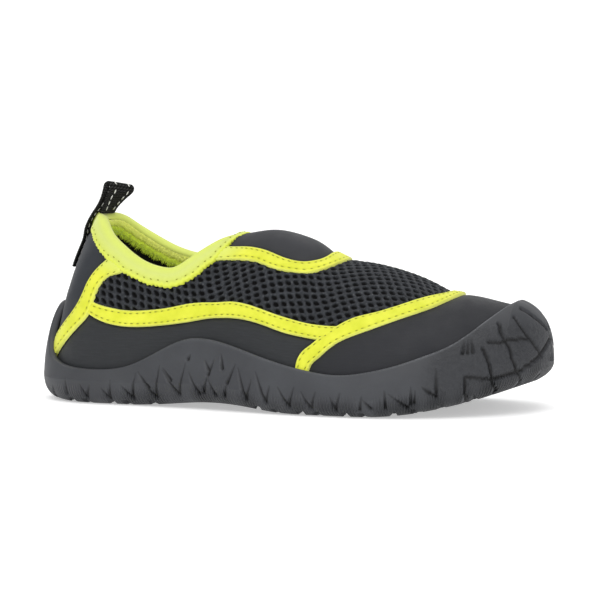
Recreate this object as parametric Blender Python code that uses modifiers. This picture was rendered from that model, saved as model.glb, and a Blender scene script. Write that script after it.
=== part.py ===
"""A child's slip-on water shoe, right foot: moulded rubber cup sole, soft hollow upper,
collar binding, footbed and heel pull loop.

Sizes below are millimetres. In the drawing frame x runs from the sole's heel (0) to its toe (195),
y is 0 on the heel's middle, negative on the outer (lateral) side, and z is 0 on the ground.
The objects are made in metres with +X to the toe, and with the origin on the ground at the
middle of the shoe's box (X_MID, Y_MID).
"""
import bpy
import bmesh
import math
import numpy as np

# ---------------------------------------------------------------- driving sizes, mm
LENGTH = 195.0            # overall length of the sole, a child's EU 30
TIP = 191.0               # the last's toe tip
HEEL = 3.9                # its heel at the feather line
WALL = 2.0                # upper wall: neoprene and lining
GAP = 0.3                 # room between neighbouring pieces
SNUG = 0.4                # the same between facets that bend both ways
HEEL_ROUND = 27.0         # length over which the heel rounds in plan
TOE_ROUND = (62.0, 46.0)  # the same at the toe: lateral, medial
TOE_POWER = 2.1
NOSE, NOSE_POWER = 10.0, 2.5   # rounding of the ridge down to the toe tip
THROAT = 79.0             # front end of the collar opening
TURN = 1.76               # how round the collar's front is
LIFT = 0.7                # height of the upper's lower edge over the floor
FOOT_THICK = 4.0          # sole wall where it leaves the floor
FOOT_THIN = 1.2           # power of its thinning towards the rubber's edge
BINDING_OUT, BINDING_IN, BINDING_THICK = 6.3, 5.2, 0.8
INSOLE_THICK = 3.2
LOOP_WIDTH, LOOP_THICK = 10.0, 1.0
GROOVE_WIDTH, GROOVE_DEPTH, GROOVE_ZIGZAG = 2.4, 1.9, 2.8
X_MID, Y_MID = 97.43, -0.36

# ---------------------------------------------------------------- tables
# x, lateral half width, medial half width, ridge height, fullness, centre line y
SECTIONS = [
    (0,   22.8, 22.8, 128.0, 1.30, 0.0),
    (20,  22.8, 22.8, 112.0, 1.28, 0.0),
    (40,  23.2, 22.2, 93.0, 1.24, 0.0),
    (55,  24.6, 21.0, 79.0, 1.20, 0.2),
    (65,  26.3, 20.6, 70.5, 1.20, 0.4),
    (72,  27.7, 20.8, 64.6, 1.22, 0.6),
    (79,  29.2, 21.4, 61.8, 1.25, 0.8),
    (84,  30.4, 21.9, 62.2, 1.30, 1.0),
    (92,  32.0, 23.0, 63.1, 1.36, 1.2),
    (101, 33.8, 24.6, 61.6, 1.42, 1.5),
    (111, 35.6, 26.5, 57.6, 1.50, 1.8),
    (118, 36.6, 27.8, 53.6, 1.56, 2.1),
    (128, 37.6, 29.3, 51.6, 1.66, 2.5),
    (139, 38.3, 30.5, 49.2, 1.78, 3.0),
    (150, 38.8, 31.0, 45.2, 1.90, 3.6),
    (158, 39.0, 31.0, 41.6, 2.00, 4.1),
    (165, 39.0, 30.8, 40.7, 2.10, 4.6),
    (178, 39.0, 30.2, 38.1, 2.20, 5.4),
    (191, 39.0, 29.5, 36.1, 2.30, 6.0),
]
# height above the ground, x of the heel's back
BACK = [(0, 4.2), (8, 3.9), (15, 3.9), (22, 4.7), (29, 6.3), (36, 8.9), (47, 12.8), (59, 17.8), (65, 20.8), (70, 23.8)]
# x, height of the underside: flat under heel and ball, raised under arch and toe
GROUND = [(0, 1.0), (8, 0.2), (16, 0.0), (45, 0.0), (58, 0.8), (74, 2.2), (90, 1.8), (104, 0.3), (112, 0.0), (140, 0.0),
          (152, 0.9), (165, 3.2), (178, 6.6), (188, 10.0), (195, 12.6)]
FLATS = [(16.0, 45.0), (112.0, 140.0)]
# x, sole thickness under the foot
FLOOR = [(0, 9.0), (50, 8.5), (80, 7.0), (115, 6.5), (150, 6.5), (195, 6.5)]
# x, height of the collar's edge, lateral and medial
COLLAR_LAT = [(21, 68.3), (24, 68.0), (27, 66.4), (29.5, 63.9), (33, 60.7), (37, 57.8), (42, 54.3), (47, 51.4), (52, 49.7),
              (56, 49.0), (60, 49.4), (64, 51.8), (68, 54.8), (72, 57.7), (76, 60.5), (79, 62.0), (81, 62.6)]
COLLAR_MED = [(21, 68.3), (24, 68.1), (27, 66.8), (30, 64.2), (34, 61.2), (39, 58.2), (45, 55.4), (50, 53.8), (55, 52.8),
              (60, 53.2), (65, 55.4), (69, 57.6), (73, 59.7), (76, 61.0), (79, 62.0), (81, 62.6)]
# x along the sole's feather line, height of the rubber's edge, lateral and medial
SOLE_TOP = [(3.9, 34.8, 34.8), (4.5, 32.0, 32.0), (5.6, 26.3, 26.3), (7.4, 19.5, 19.5), (10.5, 15.4, 15.6), (16, 13.4, 13.8),
            (24, 12.5, 13.2), (34, 12.5, 13.6), (44, 14.2, 15.6), (52, 17.6, 18.8), (60, 21.6, 22.8), (68, 24.4, 25.4),
            (76, 24.6, 25.6), (86, 22.9, 24.0), (98, 19.6, 20.8), (110, 16.7, 17.8), (120, 14.9, 16.0), (130, 14.1, 15.4),
            (140, 15.2, 16.6), (150, 17.5, 18.8), (160, 20.9, 22.0), (169, 25.2, 26.0), (176, 31.0, 31.2), (181, 35.4, 35.4),
            (185, 38.4, 38.4), (191, 42.0, 42.0)]
# x, thickness of the rubber at its edge
EDGE = [(0, 3.0), (6, 2.9), (14, 2.2), (26, 1.8), (150, 1.8), (168, 1.9), (180, 1.8), (186, 2.4), (191, 4.2)]
# height above the underside, reach out of the feather line
WALL_FOOT = [(0.0, -2.2), (0.5, -0.4), (1.4, 1.3), (3.0, 2.7), (5.2, 3.6), (8.6, 4.0)]
# x, z, twist in degrees, curl of the edges, of the pull loop's free part, from its sewn leg over the top to its end on the rim
LOOP_FREE = [(21.5, 70.3, 4, 0.7), (23.1, 72.0, 10, 0.4), (24.8, 73.8, 20, 0.2), (26.6, 76.0, 32, 0.1), (27.8, 78.1, 38, 0),
             (29.1, 79.8, 42, 0), (30.5, 79.5, 42, 0), (30.1, 77.8, 38, 0), (28.7, 75.8, 32, 0.1), (26.9, 73.6, 20, 0.2),
             (25.5, 71.8, 10, 0.4), (24.5, 70.3, 5, 0.7)]
# z on the heel's back, distance out of its surface, of the loop's sewn leg
LOOP_OUTER = [(48.6, 1.0), (54.0, 1.0), (57.0, 1.0), (59.0, 1.3), (60.8, 2.2), (64.0, 2.2), (67.0, 2.2)]
GROOVES = [10, 18.5, 27, 35.5, 44, 52.5, 98, 106.5, 115, 123.5, 132, 140.5, 149, 157.5, 166, 174.5]  # x of each lug groove


# ---------------------------------------------------------------- curves and the last's surface
def spline(xs, ys):
    """Natural cubic spline through a table's rows, straight beyond its ends."""
    xs, ys = np.asarray(xs, float), np.asarray(ys, float)
    n, h = len(xs), np.diff(xs)
    a, r = np.eye(n), np.zeros(n)
    for i in range(1, n - 1):
        a[i, i - 1], a[i, i], a[i, i + 1] = h[i - 1], 2 * (h[i - 1] + h[i]), h[i]
        r[i] = 6 * ((ys[i + 1] - ys[i]) / h[i] - (ys[i] - ys[i - 1]) / h[i - 1])
    m = np.linalg.solve(a, r)
    first = (ys[1] - ys[0]) / h[0] - h[0] * (2 * m[0] + m[1]) / 6
    last = (ys[-1] - ys[-2]) / h[-1] + h[-1] * (m[-2] + 2 * m[-1]) / 6

    def f(x):
        x = np.asarray(x, float)
        i = np.clip(np.searchsorted(xs, x) - 1, 0, n - 2)
        p, q, d = xs[i + 1] - x, x - xs[i], h[i]
        y = (m[i] * p ** 3 + m[i + 1] * q ** 3) / (6 * d) + (ys[i] / d - m[i] * d / 6) * p + (ys[i + 1] / d - m[i + 1] * d / 6) * q
        y = np.where(x < xs[0], ys[0] + first * (x - xs[0]), y)
        return np.where(x > xs[-1], ys[-1] + last * (x - xs[-1]), y)
    return f


def columns(table):
    t = np.array(table, float)
    return [spline(t[:, 0], t[:, k]) for k in range(1, t.shape[1])]


lat_half, med_half, ridge_top, fullness, centre_y = columns(SECTIONS)
back_x, = columns(BACK)
ground_curve, = columns(GROUND)
floor_thick, = columns(FLOOR)
collar_lat, = columns(COLLAR_LAT)
collar_med, = columns(COLLAR_MED)
sole_lat, sole_med = columns(SOLE_TOP)
edge_thick, = columns(EDGE)
foot_reach, = columns(WALL_FOOT)


def ground(x):
    z = ground_curve(x)
    for lo, hi in FLATS:
        z = np.where((x >= lo) & (x <= hi), 0.0, z)
    return np.maximum(z, 0.0)


def feather(x):
    """Height of the sole's floor, where the upper meets it."""
    return ground(x) + floor_thick(x)


def rounding(t, p):
    """0 at an end and 1 past the rounded part: a superellipse quarter."""
    t = np.clip(t, 0, 1)
    return (1 - (1 - t) ** p) ** (1 / p)


def ridge(x):
    return feather(x) + (ridge_top(x) - feather(x)) * rounding((TIP - x) / NOSE, NOSE_POWER)


def last(q, phi):
    """The upper's outer surface. q runs from the heel (0) to the toe tip (1), and phi is the angle
    round each section: -90 degrees at the lateral feather line, 0 on the ridge, 90 at the medial."""
    q, phi = np.broadcast_arrays(np.asarray(q, float), np.asarray(phi, float))
    phi = np.where(q < 0, -phi, phi)
    xi = (1 - np.cos(np.pi * np.abs(q))) / 2
    z = 20 + 20 * np.cos(phi)
    for _ in range(24):
        x = back_x(z) + (TIP - back_x(z)) * xi
        foot = feather(x)
        zeta = np.abs(np.cos(phi)) ** (2 / fullness(x))
        z = 0.4 * z + 0.6 * (foot + (ridge(x) - foot) * zeta)
    lat = phi < 0
    w = np.where(lat, lat_half(x), med_half(x)) * rounding((TIP - x) / np.where(lat, *TOE_ROUND), TOE_POWER)
    w = w * rounding((x - back_x(z)) / HEEL_ROUND, 2.0)
    return np.stack([x, centre_y(x) + w * np.sin(phi), z], -1)


def slopes(q, phi, e=1e-3):
    return (last(q + e, phi) - last(q - e, phi)) / (2 * e), (last(q, phi + e) - last(q, phi - e)) / (2 * e)


def unit(v):
    return v / np.maximum(np.linalg.norm(v, axis=-1, keepdims=True), 1e-12)


def outward(q, phi):
    """Unit normal of the last, pointing out."""
    qq = np.clip(np.broadcast_arrays(q, phi)[0], 0, 0.999)
    dq, dphi = slopes(qq, phi)
    n = unit(np.cross(dq, dphi))
    tip = np.clip((np.broadcast_arrays(q, phi)[0] - 0.985) / 0.015, 0, 1)[..., None]
    return unit(n * (1 - tip) + np.array([1.0, 0.0, 0.0]) * tip)


def angle_at(q, height, side):
    """phi at which the section of q has the height that height(x, side, foot_x) gives there."""
    q = np.asarray(q, float)
    xi = (1 - np.cos(np.pi * q)) / 2
    foot_x = HEEL + (TIP - HEEL) * xi
    x = 10 + (TIP - 10) * xi
    for _ in range(40):
        z = np.minimum(height(x, side, foot_x), ridge(x))
        x = 0.4 * x + 0.6 * (back_x(z) + (TIP - back_x(z)) * xi)
    zeta = np.clip((z - feather(x)) / np.maximum(ridge(x) - feather(x), 1e-9), 0, 1)
    return side * np.arccos(zeta ** (fullness(x) / 2))


def q_of(x, z):
    """q of a point at x and height z."""
    return np.arccos(np.clip(1 - 2 * (x - back_x(z)) / (TIP - back_x(z)), -1, 1)) / np.pi


def collar_height(x, side, foot_x):
    return collar_lat(x) if side < 0 else collar_med(x)


def sole_height(x, side, foot_x):
    """Height of the rubber's edge. The heel leans, so there the table is read at the feather line's x."""
    w = np.clip((45 - foot_x) / 30, 0, 1)
    x = x * (1 - w) + foot_x * w
    return sole_lat(x) if side < 0 else sole_med(x)


def walk(q, phi, way, distance, steps=6):
    """Points reached by going distance along the surface from (q, phi), starting in direction way."""
    way = unit(way)
    for _ in range(steps):
        dq, dphi = slopes(q, phi)
        n = unit(np.cross(dq, dphi))
        way = unit(way - (way * n).sum(-1, keepdims=True) * n)
        a, b, c = (dq * dq).sum(-1), (dq * dphi).sum(-1), (dphi * dphi).sum(-1)
        u, v = (dq * way).sum(-1), (dphi * way).sum(-1)
        det = a * c - b * b
        q = q + (c * u - b * v) / det * distance / steps
        phi = phi + (a * v - b * u) / det * distance / steps
    return q, phi


# ---------------------------------------------------------------- mesh making
parts = bpy.data.collections.new("water_shoe")
cutters = bpy.data.collections.new("cutters")
for ob in list(bpy.data.objects):
    bpy.data.objects.remove(ob, do_unlink=True)
bpy.context.scene.collection.children.link(parts)
bpy.context.scene.collection.children.link(cutters)


def material(name, colour, roughness):
    mat = bpy.data.materials.new(name)
    mat.use_nodes = True
    shader = mat.node_tree.nodes["Principled BSDF"]
    shader.inputs["Base Color"].default_value = (*colour, 1)
    shader.inputs["Roughness"].default_value = roughness
    shader.inputs["Metallic"].default_value = 0.0
    return mat


class Mesh:
    """Collects points in millimetres and faces, and welds the points that coincide."""

    def __init__(self):
        self.points, self.faces = [], []

    def grid(self, rows, flip=False):
        """A sheet through rows of points, all of one length."""
        rows = np.asarray(rows, float)
        n, m = rows.shape[:2]
        start = len(self.points)
        self.points += [tuple(p) for p in rows.reshape(-1, 3)]
        for i in range(n - 1):
            for j in range(m - 1):
                a = start + i * m + j
                face = (a, a + 1, a + m + 1, a + m)
                self.faces.append(face[::-1] if flip else face)

    def object(self, name, mat, collection, closed=True):
        mesh = bpy.data.meshes.new(name)
        bm = bmesh.new()
        made = [bm.verts.new(((p[0] - X_MID) / 1000, (p[1] - Y_MID) / 1000, p[2] / 1000)) for p in self.points]
        for face in self.faces:
            bm.faces.new([made[i] for i in face])
        bmesh.ops.remove_doubles(bm, verts=bm.verts[:], dist=2e-5)
        bmesh.ops.dissolve_degenerate(bm, edges=bm.edges[:], dist=1e-6)
        if closed:
            bmesh.ops.recalc_face_normals(bm, faces=bm.faces[:])
            if bm.calc_volume(signed=True) < 0:
                bmesh.ops.reverse_faces(bm, faces=bm.faces[:])
        bm.to_mesh(mesh)
        bm.free()
        mesh.shade_smooth()
        mesh.set_sharp_from_angle(angle=math.radians(40))
        ob = bpy.data.objects.new(name, mesh)
        if mat:
            mesh.materials.append(mat)
        collection.objects.link(ob)
        return ob


def solidify(ob, thickness, offset):
    mod = ob.modifiers.new("wall", "SOLIDIFY")
    mod.thickness = thickness / 1000
    mod.offset = offset
    mod.use_even_offset = True
    mod.thickness_clamp = 0.0
    return ob


def ladder(left, right, count, height=None):
    """A sheet of count strips between two edges, optionally laid at height(x)."""
    t = np.linspace(0, 1, count + 1)[None, :, None]
    rows = left[:, None] * (1 - t) + right[:, None] * t
    if height is not None:
        rows[..., 2] = height(rows[..., 0])
    return rows


# ---------------------------------------------------------------- stations along the shoe
def closing_q():
    """q at which the rubber's edge reaches the ridge over the toe."""
    x = np.linspace(170, 190, 2001)
    above = sole_lat(x) >= ridge(x)
    xc = x[np.argmax(above)]
    return float(q_of(xc, ridge(xc)))


THROAT_Q = float(q_of(THROAT, ridge(THROAT)))
CLOSE_Q = closing_q()
# end of each stretch as q, number of steps in it, how far the steps crowd to its end
STRETCHES = [(0.12, 6, 1.0), (0.30, 7, 1.0), (THROAT_Q, 8, 2.0), (THROAT_Q + 0.05, 3, 1.0), (0.72, 7, 1.0), (CLOSE_Q, 5, 1.8), (1.0, 6, 1.0)]


def stations():
    """Values of q along the shoe, closer together where an edge turns over the ridge."""
    q = [0.0]
    for end, count, crowd in STRETCHES:
        t = np.arange(1, count + 1) / count
        q += list(q[-1] + (end - q[-1]) * (1 - (1 - t) ** crowd))
    return np.array(q)


Q = stations()


def top_angles(height, close_q):
    """Angle of the top edge at each station on both sides, which meet at the heel and past close_q."""
    short = close_q - Q
    turn = np.where((short > 0) & (short < 0.03), TURN * np.sqrt(np.maximum(short, 0)), 0)
    tops = {side: side * np.where(short > 1e-9, np.maximum(side * angle_at(Q, height, side), turn), 0.0) for side in (-1, 1)}
    tops[1][0] = -tops[-1][0]
    return tops


def side_rows(side, top_angle, count, crowd=1.0):
    """For each station, count + 1 angles from the feather line up to top_angle, crowding to it."""
    t = 1 - (1 - np.linspace(0, 1, count + 1)[None]) ** crowd
    return side * math.pi / 2 * (1 - t) + top_angle[:, None] * t


# ---------------------------------------------------------------- upper: one hollow shell
def make_upper():
    m = Mesh()
    tops = top_angles(collar_height, THROAT_Q)
    for side in (-1, 1):
        phi = side_rows(side, tops[side], 9, 1.25)
        rows = last(Q[:, None], phi)
        rows[:, 0, 2] += LIFT                      # clears the sole's floor
        rows[-1, 1:, 2] += LIFT
        m.grid(rows, flip=side < 0)
    ob = m.object("upper", material("upper_neoprene", (0.036, 0.039, 0.043), 0.75), parts, closed=False)
    return solidify(ob, WALL, -1.0)


# ---------------------------------------------------------------- outsole: cup with floor, wall and toe bumper
def wall_points(q, phi, share):
    """Outer face of the sole's wall: share is 0 at the feather line and 1 at the rubber's edge."""
    p = last(q, phi)
    thick = FOOT_THICK + (edge_thick(p[..., 0]) - FOOT_THICK) * share ** FOOT_THIN
    return p + outward(q, phi) * (GAP + thick)[..., None]


def make_outsole():
    m = Mesh()
    floor_edge, under_edge = {}, {}
    tops = top_angles(sole_height, CLOSE_Q)
    for side in (-1, 1):
        phi = side_rows(side, tops[side], 6, 1.1)
        q = Q[:, None] + 0 * phi
        share = np.linspace(0, 1, 7)[None] + 0 * phi
        inner = last(q, phi) + outward(q, phi) * (SNUG + 0.12)
        outer = wall_points(q, phi, share)
        inner[:-1, 0, 2] = feather(inner[:-1, 0, 0])
        heights = np.array([h for h, _ in WALL_FOOT])[::-1][None]
        base, n = last(q[:, :1], phi[:, :1]), outward(q[:, :1], phi[:, :1])
        n[..., 2] = 0
        n = unit(n)
        foot = base + n * (foot_reach(heights) + GAP)[..., None]
        low = ground(foot[..., 0])
        foot[..., 2] = low + (base[..., 2] - low) * heights / heights.max()
        outer[:, 0] = foot[:, 0]
        m.grid(inner, flip=side > 0)
        m.grid(outer, flip=side < 0)
        m.grid(foot, flip=side > 0)
        rim = Q <= CLOSE_Q + 1e-9
        m.grid(np.stack([inner[rim, -1], outer[rim, -1]], 1), flip=side > 0)
        floor_edge[side], under_edge[side] = inner[:, 0], foot[:, -1]
    m.grid(ladder(floor_edge[-1], floor_edge[1], 4))
    m.grid(ladder(under_edge[-1], under_edge[1], 4), flip=True)
    ob = m.object("outsole", material("sole_rubber", (0.071, 0.075, 0.082), 0.5), parts)
    cut = ob.modifiers.new("lug_grooves", "BOOLEAN")
    cut.operation, cut.object = "DIFFERENCE", make_grooves()
    return ob


def make_grooves():
    """Zigzag bars across the underside, which leave the main lugs between them."""
    bm = bmesh.new()
    for k, x0 in enumerate(GROOVES):
        low, top = float(ground(x0)) - 6, float(ground(x0)) + GROOVE_DEPTH
        lean = math.degrees(math.atan((float(ground(x0 + 3)) - float(ground(x0 - 3))) / 6))
        ys = np.linspace(-48, 48, 9)
        xs = x0 + GROOVE_ZIGZAG * np.where(np.arange(9) % 2 == k % 2, 1.0, -1.0) * 0.5
        ring = []
        for y, x in zip(ys, xs):
            ring.append([bm.verts.new(((x + dx - X_MID) / 1000, (y - Y_MID) / 1000, z / 1000))
                         for dx, z in ((-GROOVE_WIDTH / 2, low), (GROOVE_WIDTH / 2, low),
                                       (GROOVE_WIDTH / 2, top + math.tan(math.radians(lean)) * GROOVE_WIDTH / 2),
                                       (-GROOVE_WIDTH / 2, top - math.tan(math.radians(lean)) * GROOVE_WIDTH / 2))])
        for a, b in zip(ring, ring[1:]):
            for i in range(4):
                bm.faces.new((a[i], a[(i + 1) % 4], b[(i + 1) % 4], b[i]))
        bm.faces.new(ring[0])
        bm.faces.new(ring[-1][::-1])
    bmesh.ops.recalc_face_normals(bm, faces=bm.faces[:])
    mesh = bpy.data.meshes.new("lug_groove_bars")
    bm.to_mesh(mesh)
    bm.free()
    ob = bpy.data.objects.new("lug_groove_bars", mesh)
    cutters.objects.link(ob)
    ob.hide_render = True
    ob.display_type = "WIRE"
    return ob


# ---------------------------------------------------------------- insole: foam footbed on the floor
def make_insole():
    q = np.linspace(0, 1, 25)
    edge = {}
    for side in (-1, 1):
        phi = np.full_like(q, side * math.pi / 2)
        n = outward(q, phi)
        n[:, 2] = 0
        p = last(q, phi) - unit(n) * (WALL + 3 * GAP)
        p[:, 1] = np.where((q < 1e-9) | (q > 1 - 1e-9), centre_y(p[:, 0]), p[:, 1])
        edge[side] = p
    m = Mesh()
    m.grid(ladder(edge[-1], edge[1], 4, lambda x: feather(x) + GAP), flip=True)
    ob = m.object("insole", material("insole_foam", (0.02, 0.02, 0.022), 0.9), parts, closed=False)
    mod = solidify(ob, INSOLE_THICK, 1.0).modifiers["wall"]
    mod.use_even_offset = False
    return ob


# ---------------------------------------------------------------- collar binding: tape folded over the collar's edge
def collar_frame():
    """Points round the collar's edge (heel, lateral side, throat, medial side), with the surface's
    normal and the way down from the edge at each."""
    tops = top_angles(collar_height, THROAT_Q)
    k = np.argmax(Q > THROAT_Q - 1e-9)
    q = np.concatenate([Q[:k + 1], Q[k - 1:0:-1]])
    phi = np.concatenate([tops[-1][:k + 1], tops[1][k - 1:0:-1]])
    c = last(q, phi)
    along = unit(np.roll(c, -1, 0) - np.roll(c, 1, 0))
    n = outward(q, phi)
    n = unit(n - (n * along).sum(-1, keepdims=True) * along)
    away = unit(np.cross(along, n))
    inside = np.array([50.0, 0.0, 80.0])
    return q, phi, c, n, np.where((away * (c - inside)).sum(-1, keepdims=True) < 0, -away, away)


def make_binding():
    q, phi, c, n, away = collar_frame()
    rows = []
    for distance, side in ((BINDING_OUT, 1), (BINDING_OUT / 2, 1), (-SNUG, 1), (-SNUG, -1), (BINDING_IN / 2, -1), (BINDING_IN, -1)):
        if distance > 0:
            a, b = walk(q, phi, away, distance)
            p, nn = last(a, b), outward(a, b)
        else:
            p, nn = c + away * distance, n
        rows.append(p + nn * (SNUG + 0.03 * max(distance, 0) if side > 0 else -(WALL + SNUG)))
    rows = np.array(rows)
    rows = np.concatenate([rows, rows[:, :1]], 1)
    m = Mesh()
    m.grid(rows)
    ob = m.object("collar_binding", material("binding_lime", (0.79, 0.91, 0.19), 0.8), parts, closed=False)
    return solidify(ob, BINDING_THICK, 1.0)


# ---------------------------------------------------------------- pull loop: webbing up the heel, over, and back to the rim
def heel_row(z, off, across):
    """A row across the heel at height z, lying off from the last's surface."""
    q = np.linspace(0, 0.32, 65)
    phi = angle_at(q, lambda x, side, foot_x: z + 0 * x, 1)
    p = last(q, phi) + outward(q, phi) * off
    p = p[:np.argmax(p[:, 1]) + 1]
    return [(np.interp(abs(y), p[:, 1], p[:, 0]), y, np.interp(abs(y), p[:, 1], p[:, 2])) for y in across]


def make_loop():
    across = np.linspace(-LOOP_WIDTH / 2, LOOP_WIDTH / 2, 5)
    rows = [heel_row(z, off, across) for z, off in LOOP_OUTER]
    for x, z, twist, curl in LOOP_FREE:
        c, s = math.cos(math.radians(twist)), math.sin(math.radians(twist))
        rows.append([(x + y * s + curl * (2 * y / LOOP_WIDTH) ** 2, y * c, z) for y in across])
    m = Mesh()
    m.grid(rows)
    ob = m.object("pull_loop", material("webbing_black", (0.012, 0.012, 0.012), 0.85), parts, closed=False)
    return solidify(ob, LOOP_THICK, 0.0)


make_outsole()
make_upper()
make_insole()
make_binding()
make_loop()
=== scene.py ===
"""Looks of the water shoe: moulded rubber sole, foam and knitted upper, sewn tapes, collar binding,
footbed and pull loop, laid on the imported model.

Charts below are millimetres in the drawing frame of the CAD source: x from the sole's heel (0) to its
toe (195), y from the heel's middle, negative on the outer side, z up from the ground.
"""
import bpy
import bmesh
import math
import numpy as np
from mathutils import Matrix, Vector, kdtree


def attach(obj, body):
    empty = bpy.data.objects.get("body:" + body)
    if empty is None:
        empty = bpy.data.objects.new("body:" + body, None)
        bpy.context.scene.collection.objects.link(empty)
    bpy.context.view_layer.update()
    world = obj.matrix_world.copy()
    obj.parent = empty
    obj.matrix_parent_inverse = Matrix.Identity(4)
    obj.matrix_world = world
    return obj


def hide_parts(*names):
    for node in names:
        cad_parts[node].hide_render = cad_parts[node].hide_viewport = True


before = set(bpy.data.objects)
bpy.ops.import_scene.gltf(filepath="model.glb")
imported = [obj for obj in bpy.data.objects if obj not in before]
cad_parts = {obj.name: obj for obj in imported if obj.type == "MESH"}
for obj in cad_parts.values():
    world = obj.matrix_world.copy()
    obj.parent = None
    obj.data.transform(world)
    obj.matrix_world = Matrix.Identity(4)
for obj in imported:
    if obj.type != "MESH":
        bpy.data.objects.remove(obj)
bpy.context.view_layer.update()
rng = np.random.default_rng(7)

# ---------------------------------------------------------------- the last, as in the CAD source
TIP, HEEL, WALL, GAP, SNUG, HEEL_ROUND = 191.0, 3.9, 2.0, 0.3, 0.4, 27.0
TOE_ROUND, TOE_POWER, NOSE, NOSE_POWER = (62.0, 46.0), 2.1, 10.0, 2.5
THROAT, TURN, LIFT, FOOT_THICK, FOOT_THIN = 79.0, 1.76, 0.7, 4.0, 1.2
GROOVE_WIDTH, GROOVE_DEPTH, GROOVE_ZIGZAG = 2.4, 1.9, 2.8
X_MID, Y_MID = 97.43, -0.36
LOOP_WIDTH, LOOP_THICK = 10.0, 1.0
SECTIONS = [
    (0, 22.8, 22.8, 128.0, 1.30, 0.0), (20, 22.8, 22.8, 112.0, 1.28, 0.0), (40, 23.2, 22.2, 93.0, 1.24, 0.0),
    (55, 24.6, 21.0, 79.0, 1.20, 0.2), (65, 26.3, 20.6, 70.5, 1.20, 0.4), (72, 27.7, 20.8, 64.6, 1.22, 0.6),
    (79, 29.2, 21.4, 61.8, 1.25, 0.8), (84, 30.4, 21.9, 62.2, 1.30, 1.0), (92, 32.0, 23.0, 63.1, 1.36, 1.2),
    (101, 33.8, 24.6, 61.6, 1.42, 1.5), (111, 35.6, 26.5, 57.6, 1.50, 1.8), (118, 36.6, 27.8, 53.6, 1.56, 2.1),
    (128, 37.6, 29.3, 51.6, 1.66, 2.5), (139, 38.3, 30.5, 49.2, 1.78, 3.0), (150, 38.8, 31.0, 45.2, 1.90, 3.6),
    (158, 39.0, 31.0, 41.6, 2.00, 4.1), (165, 39.0, 30.8, 40.7, 2.10, 4.6), (178, 39.0, 30.2, 38.1, 2.20, 5.4),
    (191, 39.0, 29.5, 36.1, 2.30, 6.0),
]
BACK = [(0, 4.2), (8, 3.9), (15, 3.9), (22, 4.7), (29, 6.3), (36, 8.9), (47, 12.8), (59, 17.8), (65, 20.8), (70, 23.8)]
GROUND = [(0, 1.0), (8, 0.2), (16, 0.0), (45, 0.0), (58, 0.8), (74, 2.2), (90, 1.8), (104, 0.3), (112, 0.0), (140, 0.0),
          (152, 0.9), (165, 3.2), (178, 6.6), (188, 10.0), (195, 12.6)]
FLATS = [(16.0, 45.0), (112.0, 140.0)]
FLOOR = [(0, 9.0), (50, 8.5), (80, 7.0), (115, 6.5), (150, 6.5), (195, 6.5)]
COLLAR_LAT = [(21, 68.3), (24, 68.0), (27, 66.4), (29.5, 63.9), (33, 60.7), (37, 57.8), (42, 54.3), (47, 51.4), (52, 49.7),
              (56, 49.0), (60, 49.4), (64, 51.8), (68, 54.8), (72, 57.7), (76, 60.5), (79, 62.0), (81, 62.6)]
COLLAR_MED = [(21, 68.3), (24, 68.1), (27, 66.8), (30, 64.2), (34, 61.2), (39, 58.2), (45, 55.4), (50, 53.8), (55, 52.8),
              (60, 53.2), (65, 55.4), (69, 57.6), (73, 59.7), (76, 61.0), (79, 62.0), (81, 62.6)]
SOLE_TOP = [(3.9, 34.8, 34.8), (4.5, 32.0, 32.0), (5.6, 26.3, 26.3), (7.4, 19.5, 19.5), (10.5, 15.4, 15.6), (16, 13.4, 13.8),
            (24, 12.5, 13.2), (34, 12.5, 13.6), (44, 14.2, 15.6), (52, 17.6, 18.8), (60, 21.6, 22.8), (68, 24.4, 25.4),
            (76, 24.6, 25.6), (86, 22.9, 24.0), (98, 19.6, 20.8), (110, 16.7, 17.8), (120, 14.9, 16.0), (130, 14.1, 15.4),
            (140, 15.2, 16.6), (150, 17.5, 18.8), (160, 20.9, 22.0), (169, 25.2, 26.0), (176, 31.0, 31.2), (181, 35.4, 35.4),
            (185, 38.4, 38.4), (191, 42.0, 42.0)]
EDGE = [(0, 3.0), (6, 2.9), (14, 2.2), (26, 1.8), (150, 1.8), (168, 1.9), (180, 1.8), (186, 2.5), (191, 4.7)]
WALL_FOOT = [(0.0, -2.2), (0.5, -0.4), (1.4, 1.3), (3.0, 2.7), (5.2, 3.6), (8.6, 4.0)]
LOOP_FREE = [(21.1, 70.3, 4, 0.7), (23.0, 72.0, 10, 0.4), (24.8, 73.8, 20, 0.2), (26.6, 76.0, 32, 0.1), (27.7, 78.1, 38, 0),
             (28.8, 79.9, 42, 0), (30.1, 79.9, 42, 0), (30.4, 78.0, 38, 0), (28.7, 75.8, 32, 0.1), (26.9, 73.6, 20, 0.2),
             (25.5, 71.8, 10, 0.4), (24.5, 70.3, 5, 0.7), (23.9, 69.2, 3, 0.8)]
LOOP_OUTER = [(48.4, 2.1), (53.0, 2.1), (57.0, 2.0), (59.5, 2.2), (61.5, 2.8), (64.0, 3.15), (67.0, 3.1)]
GROOVES = [10, 18.5, 27, 35.5, 44, 52.5, 98, 106.5, 115, 123.5, 132, 140.5, 149, 157.5, 166, 174.5]

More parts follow.
